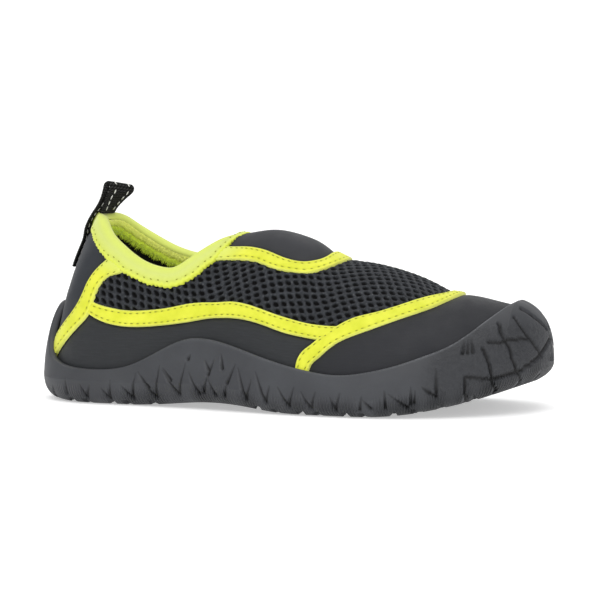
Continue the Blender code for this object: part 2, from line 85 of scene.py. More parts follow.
# ---------------------------------------------------------------- charts of the looks, x and height on the outer side
# A height of None is on the ridge. Tapes have two edges each.
TAPES = {
    "lower": ([(23.0, 39.6), (27.6, 37.2), (34.4, 35.5), (42.1, 34.5), (49.9, 34.8), (60.1, 36.2), (73.2, 38.1), (80.9, 38.5), (89.2, 38.2),
               (97.2, 36.3), (105.1, 34.2), (113, 32.4), (120.4, 31.4), (126.8, 31.2), (130.5, 31.5)],
              [(21.0, 35.0), (25.9, 32.5), (32.2, 30), (39.9, 28.6), (47.6, 28.6), (58, 29.6), (68.4, 31.2), (77, 32.6), (84.5, 32.9),
               (92.6, 32.1), (100.8, 30.1), (108.8, 28.1), (114.5, 27.2), (120, 26.5), (124.5, 26.2)]),
    "heel": ([(34.6, 55.6), (31.9, 52.8), (29.5, 50.8), (26.7, 48), (23.5, 43.2), (21.4, 38.8), (17.8, 33.5), (13.3, 28.8), (8.6, 24.2),
              (5.6, 20.0), (4.7, 17.4)],
             [(44.5, 50.6), (39.9, 48.3), (35.6, 47.2), (32.4, 45.8), (29.9, 43), (28.2, 39.6), (27.3, 36.4), (25.4, 32.3), (22.2, 29.0),
              (17.5, 24.9), (12.4, 20.2), (8.0, 15.6), (6.4, 13.2)]),
    "vamp": ([(112.4, 12.6), (112.9, 16.3), (113.4, 19.5), (114.9, 22.2), (117.6, 24.4), (121, 27.2), (126.8, 31.2), (132, 33.9), (138.3, 35.6),
              (147.2, 38.3), (155.0, 40.9), (158.6, None)],
             [(117.7, 11.8), (118.3, 15.5), (119.1, 17.9), (121.4, 20.1), (124.4, 22.9), (128.7, 26), (133.4, 28.1), (139.8, 30.5), (148.7, 33.9),
              (157.2, 37.2), (161.2, 39.5), (163.2, None)]),
    "instep": ([(73.5, 57.4), (77.5, 57.5), (84.2, 57.6), (89.5, 57.3), (94.9, 56.2), (100.2, 54.4), (105.1, 53.1), (109.6, 52.7), (113.1, 53.3),
                (114.7, None)],
               [(67.5, 51.9), (71.9, 52.5), (77.8, 52.9), (85.7, 53), (91, 52.5), (96.5, 50.9), (101.7, 49.7), (106.5, 49.1), (111.1, 48.8),
                (114.9, 49.6), (118.1, 51), (120.6, None)]),
}
# share round the collar from the heel, width of the binding outside the shoe
BINDING_WIDTH = [(0.0, 5.6), (0.08, 6.4), (0.16, 6.8), (0.26, 6.3), (0.34, 6.3), (0.40, 5.9), (0.45, 4.2), (0.5, 1.9),
                 (0.55, 4.2), (0.60, 5.9), (0.66, 6.3), (0.74, 6.3), (0.84, 6.8), (0.92, 6.4), (1.0, 5.6)]
# engraved cuts of the sole's wall: length round the sole from the heel's middle and height, at the
# deep end and at the fading end
CUTS = [
    (22.0, 1.3, 24.8, 6.0), (32.4, 3.5, 33.1, 9.1), (42.1, 2.2, 40.0, 7.4), (42.1, 2.2, 44.3, 7.3), (51.8, 1.9, 49.0, 6.2),
    (51.8, 1.9, 52.9, 9.3), (61.6, 2.8, 57.4, 7.4), (61.6, 2.8, 62.8, 12.2), (68.8, 7.3, 63.7, 12.6), (71.6, 3.6, 66.9, 8.6),
    (71.6, 3.6, 72.5, 15.2), (78.1, 10.4, 74.2, 14.4), (81.7, 5.2, 74.0, 13.8), (81.7, 5.2, 83.7, 16.6), (84.2, 18.1, 85.0, 19.6),
    (90.4, 6.1, 85.7, 13.4), (92.5, 6.7, 94.0, 13.1), (94.0, 13.1, 95.6, 18.2), (94.0, 14.7, 91.6, 18.0), (97.6, 5.7, 94.4, 11.6),
    (101.5, 5.8, 102.6, 10.5), (102.6, 10.5, 105.0, 17.0), (99.7, 15.5, 98.2, 20.2), (110.9, 5.0, 106.4, 15.9), (110.9, 5.0, 112.6, 12.0),
    (119.2, 4.3, 113.8, 14.8), (119.2, 4.3, 120.4, 10.3), (128.5, 3.3, 123.8, 10.0), (128.5, 3.3, 130.3, 10.2), (137.2, 2.8, 133.3, 8.8),
    (137.2, 2.8, 138.9, 8.8), (146.5, 2.5, 144.8, 7.2), (146.5, 2.5, 148.3, 8.8), (155.5, 2.8, 156.4, 7.8), (159.5, 3.6, 157.0, 6.6),
    (164.9, 4.0, 164.5, 10.0), (172.8, 3.9, 166.0, 8.9), (173.9, 5.3, 173.9, 11.4), (175.2, 5.6, 175.4, 10.2), (180.4, 9.4, 177.8, 11.4),
    (182.9, 8.0, 178.0, 10.9), (182.9, 9.4, 182.9, 17.8), (193.3, 22.8, 194.4, 26.6), (195.1, 23.0, 195.8, 26.9), (196.9, 23.0, 197.3, 27.4),
]
# grooves of the toe bumper, of one width all along
BUMPER = [
    (193.3, 14.7, 203.8, 13.6), (203.8, 13.6, 214.6, 15.7), (214.6, 15.7, 226.8, 21.0), (193.3, 8.7, 193.3, 14.7), (203.8, 11.9, 203.0, 16.5),
    (203.0, 16.5, 202.0, 21.0), (202.0, 21.0, 200.9, 24.2), (214.2, 15.0, 212.0, 20.3), (212.0, 20.3, 211.3, 24.7), (211.3, 24.7, 209.9, 26.8),
    (209.9, 26.8, 209.2, 29.8), (209.2, 29.8, 209.9, 32.4), (227.0, 20.2, 221.4, 26.6), (221.4, 26.6, 218.9, 30.0), (218.9, 30.0, 217.4, 34.1),
    (233.4, 29.2, 232.0, 30.8), (232.0, 30.8, 228.6, 33.4), (228.6, 33.4, 224.3, 36.9), (203.4, 26.4, 208.1, 26.0), (208.1, 26.0, 211.0, 26.8),
    (211.0, 26.8, 217.1, 27.0), (217.1, 27.0, 220.7, 26.8), (226.8, 21.3, 235.0, 26.4),
]
# notches through the lower edge of the toe's lugs
NOTCHES = [(193.3, 8.7, 194.6, 5.6), (203.8, 11.9, 206.2, 8.8), (214.4, 15.0, 217.0, 11.2)]
TOE_GAPS = [194.4, 206.0, 216.6, 227.6]    # gaps between the toe's lugs, length round the sole from the heel


# ---------------------------------------------------------------- curves and surface
def spline(xs, ys):
    """Natural cubic spline through a table's rows, straight beyond its ends."""
    xs, ys = np.asarray(xs, float), np.asarray(ys, float)
    n, h = len(xs), np.diff(xs)
    a, r = np.eye(n), np.zeros(n)
    for i in range(1, n - 1):
        a[i, i - 1], a[i, i], a[i, i + 1] = h[i - 1], 2 * (h[i - 1] + h[i]), h[i]
        r[i] = 6 * ((ys[i + 1] - ys[i]) / h[i] - (ys[i] - ys[i - 1]) / h[i - 1])
    m = np.linalg.solve(a, r)
    first = (ys[1] - ys[0]) / h[0] - h[0] * (2 * m[0] + m[1]) / 6
    last_slope = (ys[-1] - ys[-2]) / h[-1] + h[-1] * (m[-2] + 2 * m[-1]) / 6

    def f(x):
        x = np.asarray(x, float)
        i = np.clip(np.searchsorted(xs, x) - 1, 0, n - 2)
        p, q, d = xs[i + 1] - x, x - xs[i], h[i]
        y = (m[i] * p ** 3 + m[i + 1] * q ** 3) / (6 * d) + (ys[i] / d - m[i] * d / 6) * p + (ys[i + 1] / d - m[i + 1] * d / 6) * q
        y = np.where(x < xs[0], ys[0] + first * (x - xs[0]), y)
        return np.where(x > xs[-1], ys[-1] + last_slope * (x - xs[-1]), y)
    return f


FINE = np.linspace(-60, 280, 17001)


def quick_curve(f):
    values = f(FINE)
    return lambda x: np.interp(x, FINE, values)


def columns(table):
    t = np.array(table, float)
    return [quick_curve(spline(t[:, 0], t[:, k])) for k in range(1, t.shape[1])]


lat_half, med_half, ridge_top, fullness, centre_y = columns(SECTIONS)
back_x, = columns(BACK)
ground_curve, = columns(GROUND)
floor_thick, = columns(FLOOR)
collar_lat, = columns(COLLAR_LAT)
collar_med, = columns(COLLAR_MED)
sole_lat, sole_med = columns(SOLE_TOP)
edge_thick, = columns(EDGE)
foot_reach = spline([h for h, _ in WALL_FOOT], [r for _, r in WALL_FOOT])


def ground_exact(x):
    z = ground_curve(x)
    for lo, hi in FLATS:
        z = np.where((x >= lo) & (x <= hi), 0.0, z)
    return np.maximum(z, 0.0)


def rounding(t, p):
    t = np.clip(t, 0, 1)
    return (1 - (1 - t) ** p) ** (1 / p)


ground = quick_curve(ground_exact)
feather = quick_curve(lambda x: ground_exact(x) + floor_thick(x))
ridge = quick_curve(lambda x: feather(x) + (ridge_top(x) - feather(x)) * rounding((TIP - x) / NOSE, NOSE_POWER))


def last(q, phi):
    """The upper's outer surface: q from the heel (0) to the toe tip (1), phi from -90 degrees at the
    outer feather line over the ridge to 90 at the inner one."""
    q, phi = np.broadcast_arrays(np.asarray(q, float), np.asarray(phi, float))
    phi = np.where(q < 0, -phi, phi)
    xi = (1 - np.cos(np.pi * np.abs(q))) / 2
    c = np.abs(np.cos(phi))
    z = 20 + 20 * np.cos(phi)
    for _ in range(24):
        x = back_x(z) + (TIP - back_x(z)) * xi
        foot = feather(x)
        z = 0.4 * z + 0.6 * (foot + (ridge(x) - foot) * c ** (2 / fullness(x)))
    lat = phi < 0
    w = np.where(lat, lat_half(x), med_half(x)) * rounding((TIP - x) / np.where(lat, *TOE_ROUND), TOE_POWER)
    w = w * rounding((x - back_x(z)) / HEEL_ROUND, 2.0)
    return np.stack([x, centre_y(x) + w * np.sin(phi), z], -1)


def slopes(q, phi, e=1e-3):
    return (last(q + e, phi) - last(q - e, phi)) / (2 * e), (last(q, phi + e) - last(q, phi - e)) / (2 * e)


def unit(v):
    return v / np.maximum(np.linalg.norm(v, axis=-1, keepdims=True), 1e-12)


def outward(q, phi):
    q, phi = np.broadcast_arrays(q, phi)
    dq, dphi = slopes(np.clip(q, -1, 0.999), phi)
    n = unit(np.cross(dq, dphi) * np.where(q < 0, -1, 1)[..., None])
    tip = np.clip((q - 0.985) / 0.015, 0, 1)[..., None]
    return unit(n * (1 - tip) + np.array([1.0, 0.0, 0.0]) * tip)


def angle_at(q, height, side):
    q = np.asarray(q, float)
    xi = (1 - np.cos(np.pi * q)) / 2
    foot_x = HEEL + (TIP - HEEL) * xi
    x = 10 + (TIP - 10) * xi
    for _ in range(40):
        z = np.minimum(height(x, side, foot_x), ridge(x))
        x = 0.4 * x + 0.6 * (back_x(z) + (TIP - back_x(z)) * xi)
    zeta = np.clip((z - feather(x)) / np.maximum(ridge(x) - feather(x), 1e-9), 0, 1)
    return side * np.arccos(zeta ** (fullness(x) / 2))


def q_of(x, z):
    return np.arccos(np.clip(1 - 2 * (x - back_x(z)) / (TIP - back_x(z)), -1, 1)) / np.pi


def collar_height(x, side, foot_x):
    return collar_lat(x) if side < 0 else collar_med(x)


def sole_height(x, side, foot_x):
    w = np.clip((45 - foot_x) / 30, 0, 1)
    x = x * (1 - w) + foot_x * w
    return sole_lat(x) if side < 0 else sole_med(x)


def closing_q():
    x = np.linspace(170, 190, 2001)
    xc = x[np.argmax(sole_lat(x) >= ridge(x))]
    return float(q_of(xc, ridge(xc)))


THROAT_Q = float(q_of(THROAT, ridge(THROAT)))
CLOSE_Q = closing_q()


def top_angle(q, height, close_q, side):
    """Angle of a top edge at each q: the collar's or the rubber's, closing over the ridge at close_q."""
    short = close_q - q
    turn = np.where((short > 0) & (short < 0.03), TURN * np.sqrt(np.maximum(short, 0)), 0)
    return side * np.where(short > 1e-9, np.maximum(side * angle_at(q, height, side), turn), 0.0)


def walk(q, phi, way, distance, steps=6):
    way = unit(way)
    for _ in range(steps):
        dq, dphi = slopes(q, phi)
        n = unit(np.cross(dq, dphi))
        way = unit(way - (way * n).sum(-1, keepdims=True) * n)
        a, b, c = (dq * dq).sum(-1), (dq * dphi).sum(-1), (dphi * dphi).sum(-1)
        u, v = (dq * way).sum(-1), (dphi * way).sum(-1)
        det = a * c - b * b
        q = q + (c * u - b * v) / det * distance / steps
        phi = phi + (a * v - b * u) / det * distance / steps
    return q, phi


def lengths(p):
    """Length along a line of points, from its start."""
    return np.concatenate([[0], np.cumsum(np.linalg.norm(np.diff(p, axis=0), axis=1))])


def chart(points, both=False):
    """q and phi of charted points on the outer side, mirrored to the inner side as well if both."""
    out = []
    for x, z in points:
        if z is None:
            out.append((float(q_of(x, ridge(x))), 0.0))
        else:
            zeta = float(np.clip((z - feather(x)) / (ridge(x) - feather(x)), 0, 1))
            out.append((float(q_of(x, z)), -math.acos(zeta ** (float(fullness(x)) / 2))))
    if both:
        out += [(q, -phi) for q, phi in out[-2::-1]] if out[-1][1] == 0 else []
    return np.array(out)


def smooth_line(qphi, count):
    """count points evenly spaced along a smooth line through charted ones."""
    t = lengths(last(qphi[:, 0], qphi[:, 1]))
    fq, fphi = spline(t, qphi[:, 0]), spline(t, qphi[:, 1])
    fine = np.linspace(0, t[-1], 800)
    s = lengths(last(fq(fine), fphi(fine)))
    at = np.interp(np.linspace(0, s[-1], count), s, fine)
    return fq(at), fphi(at)


def smoothstep(a, b, x):
    t = np.clip((x - a) / (b - a), 0, 1)
    return t * t * (3 - 2 * t)


def wobble(x, period, seed):
    """A soft random wave of unit size along x."""
    r = np.random.default_rng(seed)
    out = 0
    for k in range(4):
        out = out + np.sin(2 * np.pi * x / (period * (0.6 + 0.5 * k)) + r.uniform(0, 6.28)) * r.uniform(0.5, 1)
    return out / 2


# ---------------------------------------------------------------- mesh making
class Piece:
    """Collects sheets and small solids in millimetres, with a map, shades and a material number each."""

    def __init__(self, *shades):
        self.p, self.f, self.m, self.uv, self.n = [], [], [], [], 0
        self.names = shades
        self.shades = {s: [] for s in shades}

    def grid(self, rows, uv=None, mat=0, flip=False, keep=None, **shades):
        rows = np.asarray(rows, float)
        n, m = rows.shape[:2]
        index = np.arange(n * m).reshape(n, m) + self.n
        f = np.stack([index[:-1, :-1], index[:-1, 1:], index[1:, 1:], index[1:, :-1]], -1)
        if keep is not None:
            f = f[keep]
            mat = np.asarray(mat)[keep] if np.ndim(mat) else mat
        f = f.reshape(-1, 4)
        if flip:
            f = f[:, ::-1]
        self.add(rows.reshape(-1, 3), f, np.zeros((n, m, 2)) if uv is None else np.stack(np.broadcast_arrays(*uv), -1),
                 np.broadcast_to(np.ravel(mat) if np.ndim(mat) else mat, len(f)), shades)

    def add(self, points, faces, uv, mat, shades):
        points = np.asarray(points, float).reshape(-1, 3)
        self.p.append(points)
        self.f.append(np.asarray(faces, int))
        self.uv.append(np.asarray(uv, float).reshape(-1, 2))
        self.m.append(np.asarray(mat, int))
        for s in self.names:
            value = shades.get(s, 0.0)
            self.shades[s].append(np.broadcast_to(np.ravel(value) if np.ndim(value) else value, len(points)).astype(float))
        self.n += len(points)

    def object(self, name, mats, weld=2e-6, stand_in=()):
        p = (np.concatenate(self.p) - [X_MID, Y_MID, 0]) / 1000
        f, uv, m = np.concatenate(self.f), np.concatenate(self.uv), np.concatenate(self.m)
        mesh = bpy.data.meshes.new(name)
        mesh.vertices.add(len(p))
        mesh.vertices.foreach_set("co", p.ravel())
        mesh.loops.add(f.size)
        mesh.loops.foreach_set("vertex_index", f.ravel())
        mesh.polygons.add(len(f))
        mesh.polygons.foreach_set("loop_start", np.arange(0, f.size, 4))
        mesh.polygons.foreach_set("material_index", m)
        mesh.polygons.foreach_set("use_smooth", np.ones(len(f), bool))
        layer = mesh.uv_layers.new(name="map")
        layer.data.foreach_set("uv", uv[f.ravel()].ravel())
        for s in self.names:
            mesh.attributes.new(s, "FLOAT", "POINT").data.foreach_set("value", np.concatenate(self.shades[s]).astype(np.float32))
        for mat in mats:
            mesh.materials.append(mat)
        mesh.update(calc_edges=True)
        bm = bmesh.new()
        bm.from_mesh(mesh)
        bmesh.ops.remove_doubles(bm, verts=bm.verts[:], dist=weld)
        bmesh.ops.dissolve_degenerate(bm, edges=bm.edges[:], dist=1e-7)
        loose = [v for v in bm.verts if not v.link_faces]
        bmesh.ops.delete(bm, geom=loose, context="VERTS")
        bm.to_mesh(mesh)
        bm.free()
        ob = bpy.data.objects.new(name, mesh)
        bpy.context.scene.collection.objects.link(ob)
        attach(ob, "root")
        if stand_in:
            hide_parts(*stand_in)
        return ob


def grid_normals(rows):
    """Unit normals of a grid of points."""
    a, b = np.gradient(rows, axis=0), np.gradient(rows, axis=1)
    return unit(np.cross(a, b))


def stitches(piece, at, along, up, length, radius, mat=0, sides=6):
    """Little rounded stitches laid along a line, one per point."""
    at, along, up = np.asarray(at), unit(np.asarray(along)), unit(np.asarray(up))
    across = unit(np.cross(up, along))
    up = np.cross(along, across)
    rings = np.array([(-0.5, 0.05), (-0.42, 0.62), (-0.2, 1.0), (0.2, 1.0), (0.42, 0.62), (0.5, 0.05)])
    a = np.arange(sides + 1) * 2 * np.pi / sides
    t = rings[:, 0][:, None] + 0 * a
    c, s = rings[:, 1][:, None] * np.cos(a) * radius, rings[:, 1][:, None] * np.sin(a) * radius * 0.8
    for p, l, w, u in zip(at, along, across, up):
        rows = p + l * (t * length)[..., None] + w * c[..., None] + u * s[..., None]
        piece.grid(rows, mat=mat)


# ---------------------------------------------------------------- materials
def rgb(r, g, b):
    """Linear colour from a display colour of 0 to 255."""
    return tuple(((c / 255 + 0.055) / 1.055) ** 2.4 if c > 10.3 else c / 255 / 12.92 for c in (r, g, b)) + (1.0,)


class Look:
    """A node material on the Principled shader."""

    def __init__(self, name, roughness=0.7, specular=0.4, sheen=0.0, sheen_rough=0.5, coat=0.0, coat_rough=0.3):
        self.mat = bpy.data.materials.new(name)
        self.mat.use_nodes = True
        self.nodes, self.links = self.mat.node_tree.nodes, self.mat.node_tree.links
        self.shader = self.nodes["Principled BSDF"]
        s = self.shader.inputs
        s["Roughness"].default_value = roughness
        s["Specular IOR Level"].default_value = specular
        s["Sheen Weight"].default_value = sheen
        s["Sheen Roughness"].default_value = sheen_rough
        s["Coat Weight"].default_value = coat
        s["Coat Roughness"].default_value = coat_rough
        self.bumps = None

    def node(self, kind, settings=(), **inputs):
        n = self.nodes.new("ShaderNode" + kind)
        for k, v in dict(settings).items():
            setattr(n, k, v)
        for k, v in inputs.items():
            socket = n.inputs[int(k[1:])] if k[0] == "i" and k[1:].isdigit() else n.inputs[k.replace("_", " ")]
            self.put(socket, v)
        return n

    def put(self, socket, v):
        if isinstance(v, bpy.types.NodeSocket):
            self.links.new(v, socket)
        else:
            socket.default_value = v

    def place(self):
        return self.node("TexCoord").outputs["Object"]

    def map(self, sx=1.0, sy=1.0, turn=0.0):
        m = self.node("Mapping", Scale=(sx, sy, 1.0), Rotation=(0, 0, turn))
        self.links.new(self.node("UVMap", {"uv_map": "map"}).outputs[0], m.inputs["Vector"])
        return m.outputs[0]

    def noise(self, scale, detail=3.0, where=None, rough=0.55):
        return self.node("TexNoise", Vector=where or self.place(), Scale=scale, Detail=detail, Roughness=rough).outputs["Fac"]

    def wave(self, where, scale, distortion=0.0, detail_scale=1.0, axis="X", kind="BANDS"):
        s = {"wave_type": kind, "wave_profile": "SIN"}
        s["bands_direction" if kind == "BANDS" else "rings_direction"] = axis
        return self.node("TexWave", s, Vector=where, Scale=scale, Distortion=distortion, Detail_Scale=detail_scale).outputs["Fac"]

    def math(self, op, a, b=0.0, c=0.0, clamp=False):
        return self.node("Math", {"operation": op, "use_clamp": clamp}, i0=a, i1=b, i2=c).outputs[0]

    def ramp(self, fac, stops):
        n = self.node("ValToRGB", Fac=fac)
        e = n.color_ramp.elements
        while len(e) < len(stops):
            e.new(0.5)
        for el, (at, colour) in zip(e, stops):
            el.position = at
            el.color = colour if len(colour) == 4 else (*colour, 1)
        return n.outputs["Color"]

    def mix(self, fac, a, b, blend="MIX"):
        n = self.nodes.new("ShaderNodeMix")
        n.data_type, n.blend_type = "RGBA", blend
        self.put(n.inputs[0], fac)
        self.put(n.inputs[6], a)
        self.put(n.inputs[7], b)
        return n.outputs[2]

    def shade(self, name):
        return self.node("Attribute", {"attribute_name": name, "attribute_type": "GEOMETRY"}).outputs["Fac"]

    def bump(self, height, distance, strength=1.0):
        n = self.node("Bump", Height=height, Distance=distance, Strength=strength)
        if self.bumps is not None:
            self.links.new(self.bumps, n.inputs["Normal"])
        self.bumps = n.outputs[0]
        self.links.new(self.bumps, self.shader.inputs["Normal"])

    def colour(self, c):
        self.put(self.shader.inputs["Base Color"], c)

    def rough(self, r):
        self.put(self.shader.inputs["Roughness"], r)


GREY = lambda v: (v, v, v, 1.0)


def make_rubber():
    m = Look("moulded_rubber", 0.55, 0.32)
    soft = m.noise(38.0, 4.0)
    base = m.ramp(soft, [(0.3, rgb(60, 61, 65)), (0.7, rgb(73, 75, 79))])
    fine = m.noise(1500.0, 2.0)
    base = m.mix(m.math("MULTIPLY", fine, 0.22), base, rgb(50, 51, 54))
    base = m.mix(m.math("MULTIPLY", m.shade("rough"), m.noise(620.0, 3.0)), base, rgb(46, 47, 50))
    ribs = m.wave(m.map(1.0, 0.16), 1.0 / 1.15 / 1.0 * 0.16 * 2, 1.2, 0.3)
    base = m.mix(m.math("MULTIPLY", m.math("MULTIPLY", ribs, m.shade("ribs")), 0.4), base, rgb(34, 35, 37))
    # painted shade: darker rubber towards the ground, most at the toe and the heel, and the whole toe darker
    base = m.mix(m.shade("low"), base, rgb(34, 35, 38))
    # painted highlight: lighter rubber along the sole's top edge and rim, and beside the toe's gaps
    base = m.mix(m.shade("lip"), base, rgb(112, 114, 118))
    # painted shade darkening the insides of the cuts, notches, lug gaps and tread grooves
    base = m.mix(m.shade("cut"), base, rgb(13, 13, 14))
    m.colour(base)
    m.rough(m.ramp(m.noise(90.0, 3.0), [(0.3, GREY(0.46)), (0.7, GREY(0.6))]))
    m.bump(m.noise(900.0, 3.0), 0.0001, 0.35)
    m.bump(m.math("MULTIPLY", ribs, m.shade("ribs")), 0.0012, 1.0)
    m.bump(m.math("MULTIPLY", m.noise(700.0, 4.0), m.shade("rough")), 0.0009, 0.9)
    return m.mat


def make_panel(name, dark, light, grain=0.3, lines=0.0):
    m = Look(name, 0.62, 0.3, sheen=0.05, sheen_rough=0.45)
    base = m.ramp(m.noise(30.0, 3.0), [(0.3, rgb(*dark)), (0.7, rgb(*light))])
    weave = m.math("MULTIPLY", m.wave(m.map(), 1.0 * 0.62, 0.4, 0.6, "X"), m.wave(m.map(), 1.0 * 0.62, 0.4, 0.6, "Y"))
    base = m.mix(m.math("MULTIPLY", weave, 0.22), base, rgb(light[0] + 14, light[1] + 14, light[2] + 15))
    if lines:
        streak = m.noise(1.0, 2.0, m.map(0.16, 1.9))
        base = m.mix(m.math("MULTIPLY", streak, lines), base, rgb(light[0] + 22, light[1] + 22, light[2] + 24))
    # painted shade in the grooves beside the tapes
    base = m.mix(m.shade("seam"), base, rgb(26, 27, 29))
    m.colour(base)
    m.rough(m.ramp(m.noise(120.0, 2.0), [(0.3, GREY(0.55)), (0.7, GREY(0.7))]))
    m.bump(weave, 0.00012, grain)
    m.bump(m.noise(160.0, 3.0), 0.0003, 0.14)
    return m.mat


def make_knit():
    m = Look("spacer_knit", 0.75, 0.2, sheen=0.04)
    yarn = m.wave(m.map(), 0.95, 3.0, 1.6, "DIAGONAL")
    base = m.ramp(m.noise(900.0, 3.0), [(0.3, rgb(40, 42, 45)), (0.6, rgb(62, 65, 70)), (0.8, rgb(104, 106, 108))])
    base = m.mix(m.math("MULTIPLY", yarn, 0.5), base, rgb(30, 31, 34))
    # near black in the openings: partly the dark layer beneath, partly painted shade
    base = m.mix(m.shade("pit"), base, rgb(1, 1, 2))
    m.colour(base)
    m.bump(yarn, 0.0002, 0.5)
    m.bump(m.noise(1800.0, 2.0), 0.0002, 0.5)
    return m.mat


def make_tape():
    m = Look("seam_tape", 0.5, 0.35, sheen=0.1)
    base = m.ramp(m.noise(150.0, 4.0), [(0.32, rgb(219, 224, 46)), (0.68, rgb(240, 242, 72))])
    grain = m.noise(1200.0, 3.0)
    base = m.mix(m.math("MULTIPLY", grain, 0.35), base, rgb(214, 222, 50))
    base = m.mix(m.math("MULTIPLY", m.shade("edge"), 0.6), base, rgb(248, 253, 150))
    base = m.mix(m.math("MULTIPLY", m.shade("row"), 0.42), base, rgb(176, 180, 26))
    base = m.mix(m.shade("join"), base, rgb(222, 231, 106))
    m.colour(base)
    weave = m.math("MULTIPLY", m.wave(m.map(), 1.1, 0.6, 0.5, "X"), m.wave(m.map(), 1.1, 0.6, 0.5, "Y"))
    m.bump(weave, 0.00012, 0.35)
    m.bump(grain, 0.00015, 0.3)
    return m.mat


def make_binding_look():
    m = Look("collar_terry", 0.8, 0.25, sheen=0.3, sheen_rough=0.4)
    across = m.shade("across")
    base = m.ramp(across, [(0.0, rgb(208, 220, 106)), (0.3, rgb(215, 225, 130)), (0.62, rgb(217, 227, 114)), (0.85, rgb(226, 236, 92)), (1.0, rgb(222, 232, 70))])
    base = m.mix(m.math("MULTIPLY", m.noise(420.0, 4.0), 0.35), base, rgb(198, 211, 88))
    base = m.mix(m.math("MULTIPLY", m.shade("row"), 0.2), base, rgb(180, 188, 80))
    m.colour(base)
    # Painted light: a faint glow on the binding's top rim and over its edge, where the inside is in shade.
    m.shader.inputs["Emission Color"].default_value = (0.66, 0.68, 0.24, 1)
    m.put(m.shader.inputs["Emission Strength"], m.ramp(across, [(0.0, GREY(0.10)), (0.25, GREY(0.0))]))
    m.bump(m.noise(1100.0, 3.0), 0.0003, 0.45)
    m.bump(m.noise(260.0, 3.0), 0.0005, 0.3)
    return m.mat


def make_fuzz_look():
    m = Look("collar_fleece", 0.95, 0.1, sheen=0.5, sheen_rough=0.4)
    base = m.ramp(m.shade("across"), [(0.0, rgb(246, 250, 150)), (0.3, rgb(242, 248, 140)), (0.48, rgb(224, 234, 104)), (0.56, rgb(176, 188, 48)),
                                      (0.64, rgb(206, 232, 54)), (1.0, rgb(188, 222, 40))])
    base = m.mix(m.math("MULTIPLY", m.noise(800.0, 4.0), 0.4), base, rgb(150, 166, 30))
    m.colour(base)
    m.bump(m.noise(900.0, 4.0), 0.0012, 0.8)
    # Painted light: a lime glow over the inner band, strongest at its top, lifting it out of the shade inside the
    # collar.
    m.shader.inputs["Emission Color"].default_value = (0.62, 0.66, 0.12, 1)
    m.put(m.shader.inputs["Emission Strength"], m.math("MULTIPLY_ADD", m.shade("across"), -0.18, 0.31))
    return m.mat


def make_cloth(name, dark, light, scale=0.9, grain=0.4, roughness=0.9, specular=0.25):
    m = Look(name, roughness, specular, sheen=0.15)
    weave = m.math("MULTIPLY", m.wave(m.map(), scale, 0.5, 0.5, "X"), m.wave(m.map(), scale, 0.5, 0.5, "Y"))
    base = m.ramp(m.math("ADD", m.math("MULTIPLY", weave, 0.6), m.math("MULTIPLY", m.noise(300.0, 3.0), 0.5)), [(0.2, rgb(*dark)), (0.8, rgb(*light))])
    m.colour(base)
    m.bump(weave, 0.0003, grain)
    m.bump(m.noise(700.0, 2.0), 0.0002, 0.3)
    return m.mat


def make_webbing():
    m = Look("woven_webbing", 0.85, 0.18)
    ribs = m.wave(m.map(), 0.36, 1.2, 0.8, "X")
    cross = m.wave(m.map(), 0.5, 0.6, 0.8, "DIAGONAL")
    weave = m.math("ADD", m.math("MULTIPLY", ribs, 0.5), m.math("MULTIPLY", cross, 0.5))
    base = m.ramp(weave, [(0.15, rgb(10, 10, 10)), (0.6, rgb(31, 31, 31)), (0.95, rgb(58, 58, 57))])
    m.colour(base)
    m.bump(weave, 0.0004, 0.7)
    m.bump(m.noise(2000.0, 2.0), 0.0001, 0.4)
    return m.mat


def make_thread(name, dark, light):
    m = Look(name, 0.6, 0.35)
    twist = m.wave(m.place(), 900.0, 0.4, 1.0, "DIAGONAL")
    m.colour(m.ramp(m.math("ADD", m.math("MULTIPLY", twist, 0.5), m.math("MULTIPLY", m.noise(900.0, 2.0), 0.5)), [(0.2, rgb(*dark)), (0.8, rgb(*light))]))
    m.bump(twist, 0.0001, 0.4)
    return m.mat


RUBBER = make_rubber()
COUNTER = make_panel("counter_panel", (38, 41, 46), (46, 49, 55))
QUARTER = make_panel("quarter_panel", (30, 32, 34), (39, 41, 43), 0.4, 0.5)
VAMP = make_panel("vamp_panel", (27, 28, 32), (36, 37, 41), 0.3, 0.2)
TONGUE = make_panel("tongue_panel", (40, 41, 45), (49, 50, 54))
UNDER = make_cloth("under_knit", (6, 6, 7), (18, 18, 20))
LINING = make_cloth("lining_cloth", (14, 14, 15), (34, 34, 36))
KNIT = make_knit()
TAPE = make_tape()
TERRY = make_binding_look()
FLEECE = make_fuzz_look()
FOAM = make_cloth("footbed_cloth", (40, 40, 43), (72, 72, 76), 0.6, 0.5)
WEBBING = make_webbing()
WHITE = make_thread("thread_white", (205, 205, 198), (240, 240, 234))
OLIVE = make_thread("thread_olive", (120, 124, 28), (164, 168, 44))

# ---------------------------------------------------------------- sole
print("sole")


def even_q(base_line, step, extra=()):
    """Values of q that are step apart along a line, with some more where asked."""
    q = np.linspace(0, 1, 3001)
    s = lengths(base_line(q))
    n = int(round(s[-1] / step))
    qs = np.interp(np.linspace(0, s[-1], n + 1), s, q)
    return np.unique(np.concatenate([qs, *extra])) if len(extra) else qs


def foot_line(side):
    """The wall's line at the feather line's height."""
    def f(q):
        phi = np.full_like(q, side * math.pi / 2)
        n = outward(q, phi)
        n[:, 2] = 0
        return last(q, phi) + unit(n) * (FOOT_THICK + GAP)
    return f


